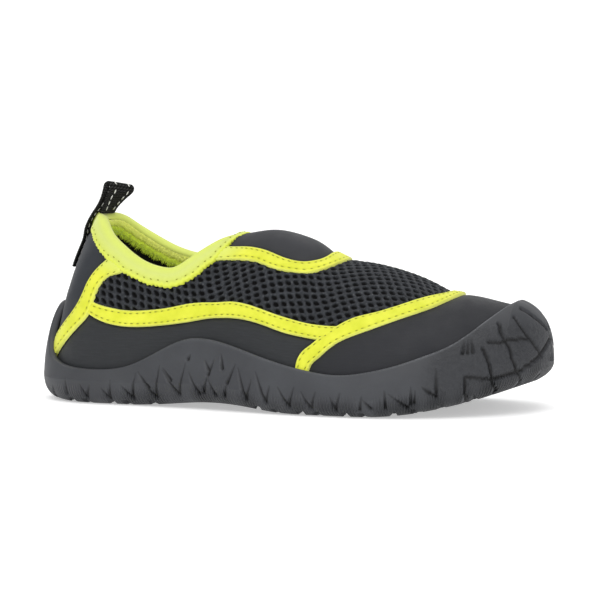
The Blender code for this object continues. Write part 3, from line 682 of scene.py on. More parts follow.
class Wall:
    """The outer wall of one side of the sole, from its top edge down to the ground."""

    def __init__(self, side, step=0.36, up=38, down=26):
        near = CLOSE_Q - (np.arange(0, 13) / 12) ** 2 * 0.03
        self.side = side
        q = even_q(foot_line(side), step, [near])
        self.q = q
        top = top_angle(q, sole_height, CLOSE_Q, side)
        self.top = top
        share = np.linspace(0, 1, up + 1)[None]
        t = 1 - (1 - share) ** 1.1
        phi = side * math.pi / 2 * (1 - t) + top[:, None] * t
        p, n = last(q[:, None], phi), outward(q[:, None], phi)
        thick = FOOT_THICK + (edge_thick(p[..., 0]) - FOOT_THICK) * share ** FOOT_THIN
        outer = p + n * (GAP + thick)[..., None]
        base, nb = p[:, :1], n[:, :1].copy()
        nb[..., 2] = 0
        nb = unit(nb)
        h = (1 - np.linspace(0, 1, down + 1) ** 0.9)[None] * 8.6
        foot = base + nb * (foot_reach(h) + GAP)[..., None]
        low = ground(foot[..., 0])
        foot[..., 2] = low + (base[..., 2] - low) * h / 8.6
        outer[:, 0] = foot[:, 0]
        self.rows = np.concatenate([outer[:, ::-1], foot[:, 1:]], 1)
        self.up, self.down = up, down
        self.inner_top, self.inner_n = p[:, -1] + n[:, -1] * SNUG, n[:, -1]
        self.inner_phi = phi
        self.s_foot = lengths(foot[:, 0])
        self.height = self.rows[..., 2] - ground(self.rows[..., 0])
        # length round the sole of the point of the foot line that lies nearest in plan
        kd = kdtree.KDTree(len(q))
        for i, c in enumerate(foot[:, 0]):
            kd.insert((c[0], c[1], 0), i)
        kd.balance()
        flat = self.rows.reshape(-1, 3)
        self.s = np.array([self.s_foot[kd.find((c[0], c[1], 0))[1]] for c in flat]).reshape(self.rows.shape[:2])


def groove_shape(x, y):
    """Share of depth, 0 to 1, of the lug grooves of the tread."""
    out = np.zeros(np.broadcast(x, y).shape)
    for k, x0 in enumerate(GROOVES):
        zig = GROOVE_ZIGZAG * 0.5 * (1 - 4 * np.abs(((y + 48) / 24 + 0.5 * (k % 2 == 0)) % 1 - 0.5)) * -1
        out = np.maximum(out, smoothstep(GROOVE_WIDTH / 2 + 0.12, GROOVE_WIDTH / 2 - 0.12, np.abs(x - x0 - zig)))
    return out


def fine_tread(x, y):
    """Fine cuts across the lugs: short slanted sipes."""
    a = (x * 0.5 + y * 0.87) / 3.4
    b = np.abs((a % 1) - 0.5) * 3.4
    return smoothstep(0.60, 0.25, b)


def carve(rows, s, z, side, total):
    """Depth of the engraved cuts at each point of the wall, and painted shade darkening inside them."""
    depth = np.zeros(rows.shape[:2]).ravel()
    dark = np.zeros_like(depth)
    flat = rows.reshape(-1, 3)
    kd = kdtree.KDTree(len(flat))
    for i, c in enumerate(flat):
        kd.insert(c, i)
    kd.balance()
    kz = kdtree.KDTree(len(flat))
    fs, fz = s.ravel(), z.ravel()
    for i in range(len(flat)):
        kz.insert((fs[i], fz[i], 0), i)
    kz.balance()
    for s0, z0, s1, z1, half, deep, fade in [(*c, 0.62, 1.0, 1.0) for c in CUTS] + [(*c, 0.55, 0.85, 0.0) for c in BUMPER]:
        n = max(2, int(math.hypot(s1 - s0, z1 - z0) / 0.2))
        for t in np.linspace(0, 1, n):
            a, b = s0 + (s1 - s0) * t, z0 + (z1 - z0) * t
            if side > 0:
                a *= total
            found = kz.find_n((a, b, 0), 5)
            if found[0][2] > 0.8:
                continue
            share = np.array([1 / (miss + 0.05) for _, _, miss in found])
            middle = (flat[[i for _, i, _ in found]] * share[:, None]).sum(0) / share.sum()
            k = 1 - fade * t
            r, d = half * (0.45 + 0.55 * k), deep * k ** 0.7
            for _, j, dist in kd.find_range(middle, r * 1.6):
                shape = max(0.0, 1 - (dist / (r * 1.6)) ** 2)
                depth[j] = max(depth[j], d * shape)
                dark[j] = max(dark[j], (0.35 + 0.65 * k) * max(0.0, 1 - (dist / (r * 1.15)) ** 2))
    depth, dark = depth.reshape(s.shape), dark.reshape(s.shape)
    # the notches are carved a little and darkened with painted shade
    for s0, z0, s1, z1 in NOTCHES:
        line = s0 + (s1 - s0) * np.clip((z - z0) / (z1 - z0), 0, 1.4)
        gap = np.abs(s - line * (total if side > 0 else 1.0)) + 3 * np.clip(z - z0, 0, None)
        depth = np.maximum(depth, 0.5 * smoothstep(1.1, 0.3, gap))
        dark = np.maximum(dark, 0.8 * smoothstep(0.95, 0.4, gap))
    return depth, dark


def toe_gap(s):
    """Share of depth of the gaps between the toe's lugs."""
    return np.max([smoothstep(0.95, 0.45, np.abs(s - at)) for at in TOE_GAPS], axis=0)


walls = {-1: Wall(-1, 0.38, 36, 26), 1: Wall(1, 0.48, 30, 24)}
RATIO = walls[1].s_foot[-1] / walls[-1].s_foot[-1]
sole = Piece("cut", "lip", "ribs", "rough", "low")
under = {}
for side, w in walls.items():
    depth, dark = carve(w.rows, w.s, w.rows[..., 2], side, RATIO)
    n = grid_normals(w.rows) * side
    centre = np.stack([w.rows[..., 0] * 0 + np.clip(w.rows[..., 0], 25, 150), 0 * w.rows[..., 0], w.rows[..., 2] * 0 + 12], -1)
    n = n * np.sign((n * (w.rows - centre)).sum(-1, keepdims=True))
    rows = w.rows - n * depth[..., None]
    notch = groove_shape(rows[..., 0], rows[..., 1]) * GROOVE_DEPTH
    low = ground(rows[..., 0])
    in_notch = (rows[..., 2] - low) < notch
    rows[..., 2] = np.where(in_notch, low + notch, rows[..., 2])
    gap = toe_gap(w.s / (RATIO if side > 0 else 1.0)) * 2.0
    in_gap = (rows[..., 2] - low) < gap
    rows[..., 2] = np.where(in_gap, low + gap, rows[..., 2])
    # painted shade in the gaps between the toe's lugs
    dark = np.maximum(dark, 0.85 * smoothstep(2.6, 1.8, w.height) * smoothstep(0.6, 1.6, gap))
    up, k = w.up, np.arange(rows.shape[1])
    # painted highlight along the wall's top edge, strongest at the toe
    lip = np.exp(-(k / 1.6) ** 2)[None] * (w.q[:, None] <= CLOSE_Q) * (0.04 + 0.14 * smoothstep(30, 60, w.rows[..., 0]) + 0.5 * smoothstep(140, 168, w.rows[..., 0]))
    # painted highlight on the rubber just beside the toe's gaps
    beside = toe_gap(w.s / (RATIO if side > 0 else 1.0) + 1.1) * smoothstep(3.4, 2.6, w.height)
    lip = np.maximum(lip, 0.5 * beside * (1 - dark))
    ribs = smoothstep(8.5, 2.0, w.height) * (0.45 + 0.55 * smoothstep(30, 50, w.rows[..., 0])) * (0.55 + 0.45 * wobble(w.s, 17.0, 8))
    rough = smoothstep(158, 166, w.rows[..., 0]) * smoothstep(34, 30, w.rows[..., 2]) * smoothstep(4, 6, w.height) * 0.8
    # the dark shade passed on here is painted shade inside the cuts
    sole.grid(rows, uv=(w.s if side < 0 else 400 - w.s, rows[..., 2]), flip=side > 0, cut=np.maximum(dark, 0.0), lip=lip, ribs=ribs, rough=rough,
              # painted shade towards the ground, stronger at the toe and heel, plus the whole toe darker
              low=np.maximum(smoothstep(11, 1, w.height) * (0.16 + 0.52 * smoothstep(150, 172, w.rows[..., 0]) + 0.12 * smoothstep(30, 15, w.rows[..., 0])), 0.32 * smoothstep(148, 172, w.rows[..., 0])))
    under[side] = rows[:, -1]
    # rim over the wall's top, then its inner face down to the floor
    rim = w.q <= CLOSE_Q + 1e-9
    a, b = rows[rim, 0], w.inner_top[rim]
    nn = w.inner_n[rim]
    upward = unit(rows[rim, 0] - rows[rim, 3])
    turn = np.linspace(0, np.pi, 6)[None, :, None]
    c = (a + b)[:, None] / 2
    half = (a - b)[:, None] / 2
    rim_rows = c + half * np.cos(turn) + upward[:, None] * np.linalg.norm(half, axis=-1, keepdims=True) * np.sin(turn) * 0.55
    # painted highlight along the rim's crest
    sole.grid(rim_rows, uv=(w.s_foot[rim][:, None] + 0 * turn[..., 0], 40 + turn[..., 0]), flip=side < 0, lip=np.sin(turn[..., 0]) * (0.08 + 0.14 * smoothstep(30, 60, rim_rows[..., 0]) + 0.4 * smoothstep(140, 168, rim_rows[..., 0])))
    pick = w.inner_phi[:, ::-1][:, ::6]
    p = last(w.q[:, None], pick)
    inner = p + outward(w.q[:, None], pick) * SNUG
    inner[:, -1, 2] = feather(inner[:, -1, 0])
    sole.grid(inner[np.unique(np.append(np.arange(0, len(inner), 3), len(inner) - 1))], flip=side < 0)
    under[side * 2] = inner[:, -1]

# underside and floor
common = np.linspace(0, 1, 320)


def along(side, key):
    w = walls[side]
    share = w.s_foot / w.s_foot[-1]
    return np.stack([np.interp(common, share, under[key][:, i]) for i in range(3)], -1)


left, right = along(-1, -1), along(1, 1)
t = np.linspace(0, 1, 73)[None, :, None]
bottom = left[:, None] * (1 - t) + right[:, None] * t
g = groove_shape(bottom[..., 0], bottom[..., 1])
fine = fine_tread(bottom[..., 0], bottom[..., 1]) * (1 - g)
inside = smoothstep(0, 0.06, t[..., 0]) * smoothstep(1, 0.94, t[..., 0])
arch = smoothstep(54, 60, bottom[..., 0]) * smoothstep(96, 90, bottom[..., 0])
bottom[:, :, 2] = ground(bottom[..., 0]) + g * GROOVE_DEPTH + fine * inside * 0.7 * (1 - arch)
bottom[:, :, 2] += toe_gap(common * walls[-1].s_foot[-1])[:, None] * (0.35 + 0.65 * np.abs(2 * t[..., 0] - 1)) * 1.9 * (1 - g)
bottom[:, 0], bottom[:, -1] = left, right
# painted shade in the tread's grooves and sipes
sole.grid(bottom, uv=(bottom[..., 0], bottom[..., 1]), flip=True, cut=np.clip(0.35 * g + 0.3 * fine * inside, 0, 1), rough=0.35 * (1 - g) + 0 * g)
left, right = along(-1, -2), along(1, 2)
t = np.linspace(0, 1, 9)[None, :, None]
sole.grid((left[:, None] * (1 - t) + right[:, None] * t)[::4])
SOLE = sole.object("sole", [RUBBER], stand_in=["outsole"])

# ---------------------------------------------------------------- tapes
print("tapes")


def strip(name, side, count, across, height, base):
    """Surface rows of a tape between its two charted edges."""
    both = TAPES[name][0][-1][1] is None
    a, b = [smooth_line(chart(edge, both), count) for edge in TAPES[name]]
    t = np.linspace(0, 1, across)[None]
    q, phi = [a[i][:, None] * (1 - t) + b[i][:, None] * t for i in (0, 1)]
    phi = phi * (-side)
    p, n = last(q, phi), outward(q, phi)
    s = lengths(p[:, across // 2])
    width = np.linalg.norm(p[:, -1] - p[:, 0], axis=-1)
    return q, phi, p, n, s, width, t


TAPE_EDGES = []           # points of the tapes' edges, for the dips and painted shade beside them
olive = Piece()


def make_tapes():
    piece = Piece("edge", "row", "join")
    for name, count, height, base in (("lower", 340, 0.5, 0.3), ("heel", 180, 0.5, 0.6), ("vamp", 400, 0.45, 0.5), ("instep", 320, 0.5, 0.5)):
        both = TAPES[name][0][-1][1] is None
        for side in ((-1,) if both else (-1, 1)):
            q, phi, p, n, s, width, t = strip(name, side, count, 25, height, base)
            total = s[-1]
            print(name, side, "length", round(float(total), 1), "width", round(float(width.mean()), 1))
            v = 2 * t - 1
            ends = np.minimum(s, total - s)[:, None]
            sunk = smoothstep(0, 3.2, s)[:, None] * 1.0 if name == "vamp" else 1.0
            if name == "vamp":
                sunk = smoothstep(0.5, 3.4, ends)
            if name == "heel":
                sunk = smoothstep(0.5, 3.0, (total - s))[:, None]
            dome = (1 - np.abs(v) ** 5) ** 0.6
            inset = np.clip(1.35 / width, 0.12, 0.3)[:, None]
            row = np.maximum(np.exp(-((t - inset) * width[:, None] / 0.42) ** 2), np.exp(-((t - 1 + inset) * width[:, None] / 0.42) ** 2))
            pitch = 2.5
            dip = (0.5 + 0.5 * np.cos(2 * np.pi * s / pitch))[:, None] ** 2
            off = 0.06 + (base * (1 - np.abs(v) ** 14) + height * dome) * (0.12 + 0.88 * sunk) - row * (0.12 + 0.14 * dip) * sunk
            off = off + 0.04 * wobble(s, 9.0, 3)[:, None]
            join = np.zeros_like(s)
            if name == "heel":
                join = smoothstep(13, 3, s)
            if name == "instep":
                join = np.maximum(smoothstep(17, 4, s), smoothstep(17, 4, total - s))
            rows = p + n * off[..., None]
            rows[:, 0] = p[:, 0] - n[:, 0] * 0.35
            rows[:, -1] = p[:, -1] - n[:, -1] * 0.35
            piece.grid(rows, uv=(s[:, None] + 0 * t, t * width[:, None]), flip=side < 0, edge=np.abs(v) ** 8 + 0 * off, row=row * (0.4 + 0.6 * dip),
                       join=join[:, None] + 0 * off)
            TAPE_EDGES.extend([p[:, 0], p[:, -1]])
            mid = np.arange(pitch * 0.8, total - 1.0, pitch)
            for which in (0, 1):
                for at in mid:
                    if sunk is not 1.0 and np.interp(at, s, np.ravel(sunk)) < 0.6:
                        continue
                    i = int(np.clip(np.searchsorted(s, at), 1, len(s) - 2))
                    tt = inset[i, 0] if which == 0 else 1 - inset[i, 0]
                    j = tt * (t.shape[1] - 1)
                    j0 = int(j)
                    f = j - j0
                    c = rows[i, j0] * (1 - f) + rows[i, j0 + 1] * f + n[i, j0] * 0.06
                    stitches(olive, [c], [rows[i + 1, j0] - rows[i - 1, j0]], [n[i, j0]], 1.05, 0.17)
    return piece.object("seam_tapes", [TAPE])


TAPES_OB = make_tapes()

# ---------------------------------------------------------------- panels' outlines, in q and phi of the outer side
MIDDLE = {}
for name in TAPES:
    a, b = [chart(e) for e in TAPES[name]]
    (qa, pa), (qb, pb) = smooth_line(a, 160), smooth_line(b, 160)
    MIDDLE[name] = np.stack([(qa + qb) / 2, (pa + pb) / 2], 1)


def inside_outline(q, phi, outline):
    """Whether each point lies inside a closed outline."""
    out = np.zeros(q.shape, bool)
    x0, y0 = outline[:, 0], outline[:, 1]
    x1, y1 = np.roll(x0, -1), np.roll(y0, -1)
    for a, b, c, d in zip(x0, y0, x1, y1):
        if b == d:
            continue
        hit = ((b > phi) != (d > phi)) & (q < (c - a) * (phi - b) / (d - b) + a)
        out ^= hit
    return out


heel_line, low_line, vamp_line, step_line = MIDDLE["heel"], MIDDLE["lower"], MIDDLE["vamp"], MIDDLE["instep"]
OUT_HEEL = np.concatenate([heel_line, [(-0.2, -1.7), (-0.2, 0.05), (heel_line[0, 0], 0.05)]])
OUT_VAMP = np.concatenate([vamp_line, [(vamp_line[-1, 0], 0.05), (1.2, 0.05), (1.2, -1.8), (vamp_line[0, 0], -1.8)]])
OUT_TONGUE = np.concatenate([[(THROAT_Q - 0.16, 0.05)], [(step_line[0, 0] - 0.02, step_line[0, 1])], step_line, [(step_line[-1, 0], 0.05)]])
OUT_QUARTER = np.concatenate([low_line, [(vamp_line[0, 0] + 0.1, -1.8), (-0.2, -1.8), (-0.2, low_line[0, 1])]])


def panel_of(q, phi):
    """0 counter, 1 quarter, 2 vamp, 3 tongue, 4 knitted mesh."""
    f = -np.abs(phi)
    kind = np.full(q.shape, 4)
    kind[inside_outline(q, f, OUT_QUARTER)] = 1
    kind[inside_outline(q, f, OUT_TONGUE)] = 3
    kind[inside_outline(q, f, OUT_VAMP)] = 2
    kind[inside_outline(q, f, OUT_HEEL)] = 0
    return kind


edge_points = np.concatenate(TAPE_EDGES)
edge_tree = kdtree.KDTree(len(edge_points))
for i, c in enumerate(edge_points):
    edge_tree.insert(c, i)
edge_tree.balance()


def edge_distance(p):
    return np.array([edge_tree.find(c)[2] for c in p.reshape(-1, 3)]).reshape(p.shape[:-1])


# ---------------------------------------------------------------- upper shell
print("upper")


def dense_q(step_line_phi, step, close_q):
    near = close_q - (np.arange(0, 10) / 9) ** 2 * 0.03
    return even_q(lambda q: last(q, np.full_like(q, step_line_phi)), step, [near])


def make_shell():
    piece = Piece("seam")
    q = dense_q(-1.0, 0.85, THROAT_Q)
    for side in (-1, 1):
        top = top_angle(q, collar_height, THROAT_Q, side)
        t = np.linspace(0, 1, 91)[None]
        phi = side * math.pi / 2 * (1 - t) + top[:, None] * t
        p, n = last(q[:, None], phi), outward(q[:, None], phi)
        d = edge_distance(p)
        kind = panel_of(q[:, None] + 0 * phi, phi)
        puff = np.where(kind == 4, -0.75, 0.0)
        puff = puff - np.where(kind == 4, 0, np.where(kind == 2, 0.4, 1)) * (0.55 * np.exp(-d / 2.2) + 0.3 * np.exp(-(d / 0.6) ** 2))
        puff = puff + np.where(kind == 3, 0.45 * smoothstep(1.5, 9, d), 0.0)
        puff = puff + np.where(kind == 0, 1.0 * smoothstep(1.0, 8, d) * smoothstep(65, 59, p[..., 2]) * smoothstep(28, 40, p[..., 2]), 0.0)
        rows = p + n * puff[..., None]
        rows[:, 0, 2] += LIFT
        # painted shade along the tapes' edges, where the shell dips beside them
        seam = np.exp(-(d / 0.55) ** 2) * 0.75
        s = lengths(last(q, np.full_like(q, -1.0)))[:, None] + 0 * phi
        v = np.stack([lengths(r) for r in p])
        mats = kind[:-1, :-1]
        piece.grid(rows, uv=(s, v * side), mat=mats, flip=side < 0, seam=seam)
        # lining inside, and the edges that join the two
        q2, phi2 = q[::2], phi[::2, ::6]
        p2, n2 = last(q2[:, None], phi2), outward(q2[:, None], phi2)
        lining = p2 - n2 * (WALL - 0.0)
        lining[:, 0, 2] += LIFT
        tip = smoothstep(0.97, 1.0, q2)[:, None]
        lining[..., 0] = lining[..., 0] * (1 - tip) + np.minimum(lining[..., 0], TIP - WALL) * tip
        piece.grid(lining, uv=(s[::2, ::6], v[::2, ::6]), mat=5, flip=side > 0)
        piece.grid(np.stack([rows[::2, 0], lining[:, 0]], 1), mat=5, flip=side > 0)
        hold = q2 <= THROAT_Q
        piece.grid(np.stack([rows[::2, -1][hold], lining[:, -1][hold]], 1), mat=5, flip=side < 0)
    return piece.object("upper_shell", [COUNTER, QUARTER, VAMP, TONGUE, UNDER, LINING], stand_in=["upper"])


SHELL = make_shell()


# ---------------------------------------------------------------- knitted mesh
print("mesh")
COLUMN, PITCH, LEAN = 3.5, 2.3, (0.42, 0.70)    # spacing of the columns of openings, pitch along one, lean at back and front


def make_mesh(side):
    piece = Piece("pit")
    q0, q1 = float(q_of(24.0, 45.0)), float(q_of(163.0, 40.0))
    qf = np.linspace(q0, q1, 2001)
    s = lengths(last(qf, np.full_like(qf, side * 0.95)))
    n = int(s[-1] / 0.32)
    q = np.interp(np.linspace(0, s[-1], n), s, qf)
    u = np.linspace(0, s[-1], n)
    phi_f = np.linspace(0, 1.40, 260)
    p = last(q[:, None], side * phi_f[None])
    seg = np.concatenate([np.zeros((n, 1)), np.cumsum(np.linalg.norm(np.diff(p, axis=1), axis=-1), axis=1)], 1)
    vmax = 62.0
    v = np.arange(0, vmax, 0.32)
    phi = np.stack([np.interp(v, seg[i], phi_f, right=np.nan) for i in range(n)])
    bad = np.isnan(phi)
    phi = np.where(bad, 1.40, phi) * side
    p, nn = last(q[:, None], phi), outward(q[:, None], phi)
    kind = panel_of(q[:, None] + 0 * phi, phi)
    collar = side * top_angle(q, collar_height, THROAT_Q, side)[:, None]
    vcol = np.array([np.interp(c, phi_f, seg[i]) for i, c in enumerate(collar[:, 0])])[:, None]
    ok = (kind == 4) & ~bad & ((v[None] > vcol + 2.0) | (q[:, None] > THROAT_Q))
    keep = ok[:-1, :-1] & ok[1:, 1:] & ok[1:, :-1] & ok[:-1, 1:]
    uu, vv = u[:, None] + 0 * phi, v[None] + 0 * phi
    uu = uu + 0.16 * wobble(vv + 0.3 * uu, 11.0, 5)
    vv = vv + 0.16 * wobble(uu - 0.2 * v[None], 13.0, 6)
    lean = LEAN[0] + (LEAN[1] - LEAN[0]) * u[:, None] / u[-1]
    a = (uu - vv * lean) / COLUMN
    a0 = np.round(a)
    b = vv / PITCH
    half = 0.5 * (a0 % 2)
    b0 = np.round(b - half) + half
    du, dv = (a - a0) * COLUMN * 0.95, (b - b0) * PITCH
    du = du + dv * (lean - 0.25) * 0.5
    r = (np.abs((du * 0.95 - dv * 0.3) / 1.12) ** 2.3 + np.abs((dv * 0.95 + du * 0.3) / 0.84) ** 2.3) ** (1 / 2.3)
    pit = smoothstep(1.08, 0.72, r)
    d = edge_distance(p)
    off = 0.42 - 0.95 * pit - 0.45 * np.exp(-d / 1.1) + 0.10 * np.cos(2 * np.pi * a) * (1 - pit)
    rows = p + nn * off[..., None]
    # the openings' near-black colour: partly the dark layer beneath, partly painted shade
    piece.grid(rows, uv=(uu - vv * 0.5, vv), flip=side < 0, keep=keep, pit=smoothstep(1.12, 0.84, r))
    return piece.object("knit_outer" if side < 0 else "knit_inner", [KNIT])


KNITS = [make_mesh(side) for side in (-1, 1)]

# ---------------------------------------------------------------- collar binding
print("binding")


def collar_loop(step):
    """Even points round the collar's edge from the heel along the outer side, back along the inner."""
    q = np.unique(np.concatenate([np.linspace(0, THROAT_Q, 500), THROAT_Q - (np.arange(0, 40) / 39) ** 2 * 0.03]))
    lat, med = top_angle(q, collar_height, THROAT_Q, -1), top_angle(q, collar_height, THROAT_Q, 1)
    med[0] = -lat[0]
    qq = np.concatenate([q, q[-2::-1]])
    pp = np.concatenate([lat, med[-2::-1]])
    s = lengths(last(qq, pp))
    n = int(round(s[-1] / step))
    at = np.linspace(0, s[-1], n + 1)
    q, phi = np.interp(at, s, qq), np.interp(at, s, pp)
    c = last(q, phi)
    around = np.concatenate([c[-2:-1], c, c[1:2]])
    along = unit(around[2:] - around[:-2])
    n = outward(q, phi)
    n = unit(n - (n * along).sum(-1, keepdims=True) * along)
    for _ in range(3):
        m = (np.roll(n[:-1], 1, 0) + n[:-1] + np.roll(n[:-1], -1, 0)) / 3
        n = unit(np.concatenate([m, m[:1]]))
    away = unit(np.cross(along, n))
    away = np.where((away * (c - [50.0, 0.0, 80.0])).sum(-1, keepdims=True) < 0, -away, away)
    return q, phi, c, n, away, at


def make_binding():
    q, phi, c, n, away, at = collar_loop(0.5)
    total = at[-1]
    width = spline(*zip(*BINDING_WIDTH))(at / total)
    print("binding length", round(float(total), 1), "width outside", round(float(width.mean()), 1))
    share = at / total
    flat = 1 - 0.6 * np.exp(-((share - 0.5) / 0.035) ** 2) - 0.4 * np.exp(-(np.minimum(share, 1 - share) / 0.03) ** 2)
    tooth = np.abs(((at / 1.4) % 1) - 0.5) * 2
    width = width + 0.7 * (tooth - 0.5) + 0.22 * wobble(at, 5.0, 11) * smoothstep(0, 4, np.minimum(at, total - at))
    piece = Piece("across", "row")
    rows, across, row = [], [], []
    shares = np.linspace(1, 0, 19)
    for k in shares:
        d = width * k
        a, b = walk(q, phi, away, np.maximum(d, 1e-3))
        p, nn = last(a, b), outward(a, b)
        off = 0.45 * flat + 1.0 * flat * (1 - k ** 10) ** 0.5 + 0.04 * wobble(at * 1.0 + 9 * k, 6.0, 4)
        stitch = np.exp(-((width * (1 - k) - 2.0) / 0.45) ** 2)
        off = off - stitch * 0.07
        rows.append(p + nn * off[:, None])
        across.append(0 * at + k)
        row.append(stitch)
    ends = [rows[-1]]
    # over the edge and a little way in
    r = 1.05
    outer_c, inner_c = c + n * (1.45 * flat)[:, None], c - n * (WALL + 0.4 + 0.6 * flat)[:, None]
    mid = (outer_c + inner_c) / 2
    half = (outer_c - inner_c) / 2
    lift = -away * (1.35 * flat)[:, None]
    for a in np.linspace(0, np.pi, 13)[1:-1]:
        rows.append(mid + half * math.cos(a) + lift * math.sin(a) ** 0.8)
        across.append(0 * at + 0.0)
        row.append(0 * at)
    rows, across, row = np.array(rows), np.array(across), np.array(row)
    bottom = last(*walk(q, phi, away, width)) - n * 0.1
    rows = np.concatenate([bottom[None], rows, inner_c[None]])
    across = np.concatenate([across[:1], across, across[-1:]])
    row = np.concatenate([row[:1] * 0, row, row[:1] * 0])
    piece.grid(rows, uv=(at[None] + 0 * row, np.cumsum(np.ones_like(row) * 0.5, 0)), across=across, row=row)
    # stitch dots
    pitch = 2.6
    for s in np.arange(1.2, total - 1, pitch):
        i = int(np.clip(np.searchsorted(at, s), 1, len(at) - 2))
        k = 1 - 2.0 / width[i]
        j = 1 + int(round((1 - k) * 18))
        way = rows[j, i + 1] - rows[j, i - 1]
        stitches(olive, [rows[j, i] + n[i] * 0.05], [way], [n[i]], 0.85, 0.2)
    ob = piece.object("collar_tape", [TERRY], stand_in=["collar_binding"])
    # inner band of fleece with a ragged lower edge
    band = Piece("across")
    deep = 5.3 + 0.4 * wobble(at, 3.1, 21) + 0.3 * wobble(at, 1.3, 22)
    rows, across = [], []
    for k in np.linspace(0, 1, 24):
        d = deep * k
        a, b = walk(q, phi, away, np.maximum(d, 1e-3))
        p, nn = last(a, b), outward(a, b)
        bulge = 1.0 - 0.55 * np.exp(-((k - 0.58) / 0.05) ** 2) + 0.35 * smoothstep(0.6, 0.8, k) - 0.9 * smoothstep(0.93, 1.0, k)
        rough = 0.16 * np.sin(at * 4.1 + 9 * k) * np.sin(at * 1.7 - 23 * k + 1) + 0.1 * rng.uniform(-1, 1, len(at))
        rough[-1] = rough[0]
        rows.append(p - nn * (WALL + 0.1 + bulge + rough * (0.3 + k))[:, None])
        across.append(0 * at + k)
    rows, across = np.array(rows), np.array(across)
    band.grid(rows, uv=(at[None] + 0 * across, across * 8), across=across, flip=True)
    # fibres along the band's lower edge and over its face
    count = 5200
    ii = rng.integers(0, len(at) - 1, count)
    kk = np.where(rng.uniform(size=count) < 0.4, rng.uniform(0.9, 1.0, count), rng.uniform(0.0, 1.0, count))
    jj = kk * (len(rows) - 1)
    j0 = np.minimum(jj.astype(int), len(rows) - 2)
    root = rows[j0, ii] * (1 - (jj - j0))[:, None] + rows[j0 + 1, ii] * (jj - j0)[:, None]
    inward, down = -n[ii], away[ii]
    side_way = unit(np.cross(inward, down))
    droop = smoothstep(0.85, 1.0, kk)[:, None]
    way = unit(inward * rng.uniform(0.3, 1.0, (count, 1)) * (1 - 0.6 * droop) + down * (rng.uniform(-0.5, 0.7, (count, 1)) + 1.0 * droop)
               + side_way * rng.uniform(-0.7, 0.7, (count, 1)))
    size = rng.uniform(0.5, 0.95, count) * (1 + 0.9 * droop[:, 0])
    wide = unit(np.cross(way, inward + 0.3 * side_way)) * 0.11
    bend = down * 0.35
    for i in range(count):
        p0, p1, p2 = root[i], root[i] + way[i] * size[i] * 0.55, root[i] + way[i] * size[i] + bend[i] * size[i] * 0.5
        w = wide[i]
        strip_rows = np.array([[p0 - w, p0 + w], [p1 - w * 0.8, p1 + w * 0.8], [p2 - w * 0.25, p2 + w * 0.25]])
        band.grid(strip_rows, across=kk[i] + rng.uniform(-0.1, 0.1))
    band.object("collar_fleece_band", [FLEECE])
    return ob


BINDING = make_binding()

# ---------------------------------------------------------------- footbed
print("footbed")


def make_footbed():
    piece = Piece()
    q = even_q(lambda q: last(q, np.full_like(q, -1.5)), 1.4)
    edge = {}
    for side in (-1, 1):
        phi = np.full_like(q, side * math.pi / 2)
        n = outward(q, phi)
        n[:, 2] = 0
        p = last(q, phi) - unit(n) * (WALL + 3 * GAP)
        p[:, 1] = np.where((q < 1e-9) | (q > 1 - 1e-9), centre_y(p[:, 0]), p[:, 1])
        edge[side] = p
    t = np.linspace(0, 1, 41)[None, :, None]
    mid = edge[-1][:, None] * (1 - t) + edge[1][:, None] * t
    v = np.abs(2 * t[..., 0] - 1)
    heel_cup = smoothstep(60, 20, mid[..., 0])
    thick = 3.0 + 0.5 * v ** 3 + 0.5 * heel_cup * v ** 2 - 0.35 * heel_cup * (1 - v) + 0.4 * smoothstep(50, 75, mid[..., 0]) * smoothstep(110, 85, mid[..., 0]) * (t[..., 0] ** 2)
    thick = thick * (0.4 + 0.6 * (1 - v ** 22) ** 0.5)
    top, low = mid.copy(), mid.copy()
    low[..., 2] = feather(mid[..., 0]) + GAP
    top[..., 2] = low[..., 2] + thick
    piece.grid(top, uv=(mid[..., 0], mid[..., 1]), flip=True)
    piece.grid(low)
    for i in (0, -1):
        piece.grid(np.stack([top[:, i], low[:, i]], 1), flip=i == 0)
    return piece.object("footbed", [FOAM], stand_in=["insole"])


FOOTBED = make_footbed()

# ---------------------------------------------------------------- pull loop
print("loop")


def heel_row(z, off, across):
    q = np.linspace(0, 0.32, 65)
    phi = angle_at(q, lambda x, side, foot_x: z + 0 * x, 1)
    p = last(q, phi) + outward(q, phi) * off
    p = p[:np.argmax(p[:, 1]) + 1]
    return [(np.interp(abs(y), p[:, 1], p[:, 0]), y, np.interp(abs(y), p[:, 1], p[:, 2])) for y in across]


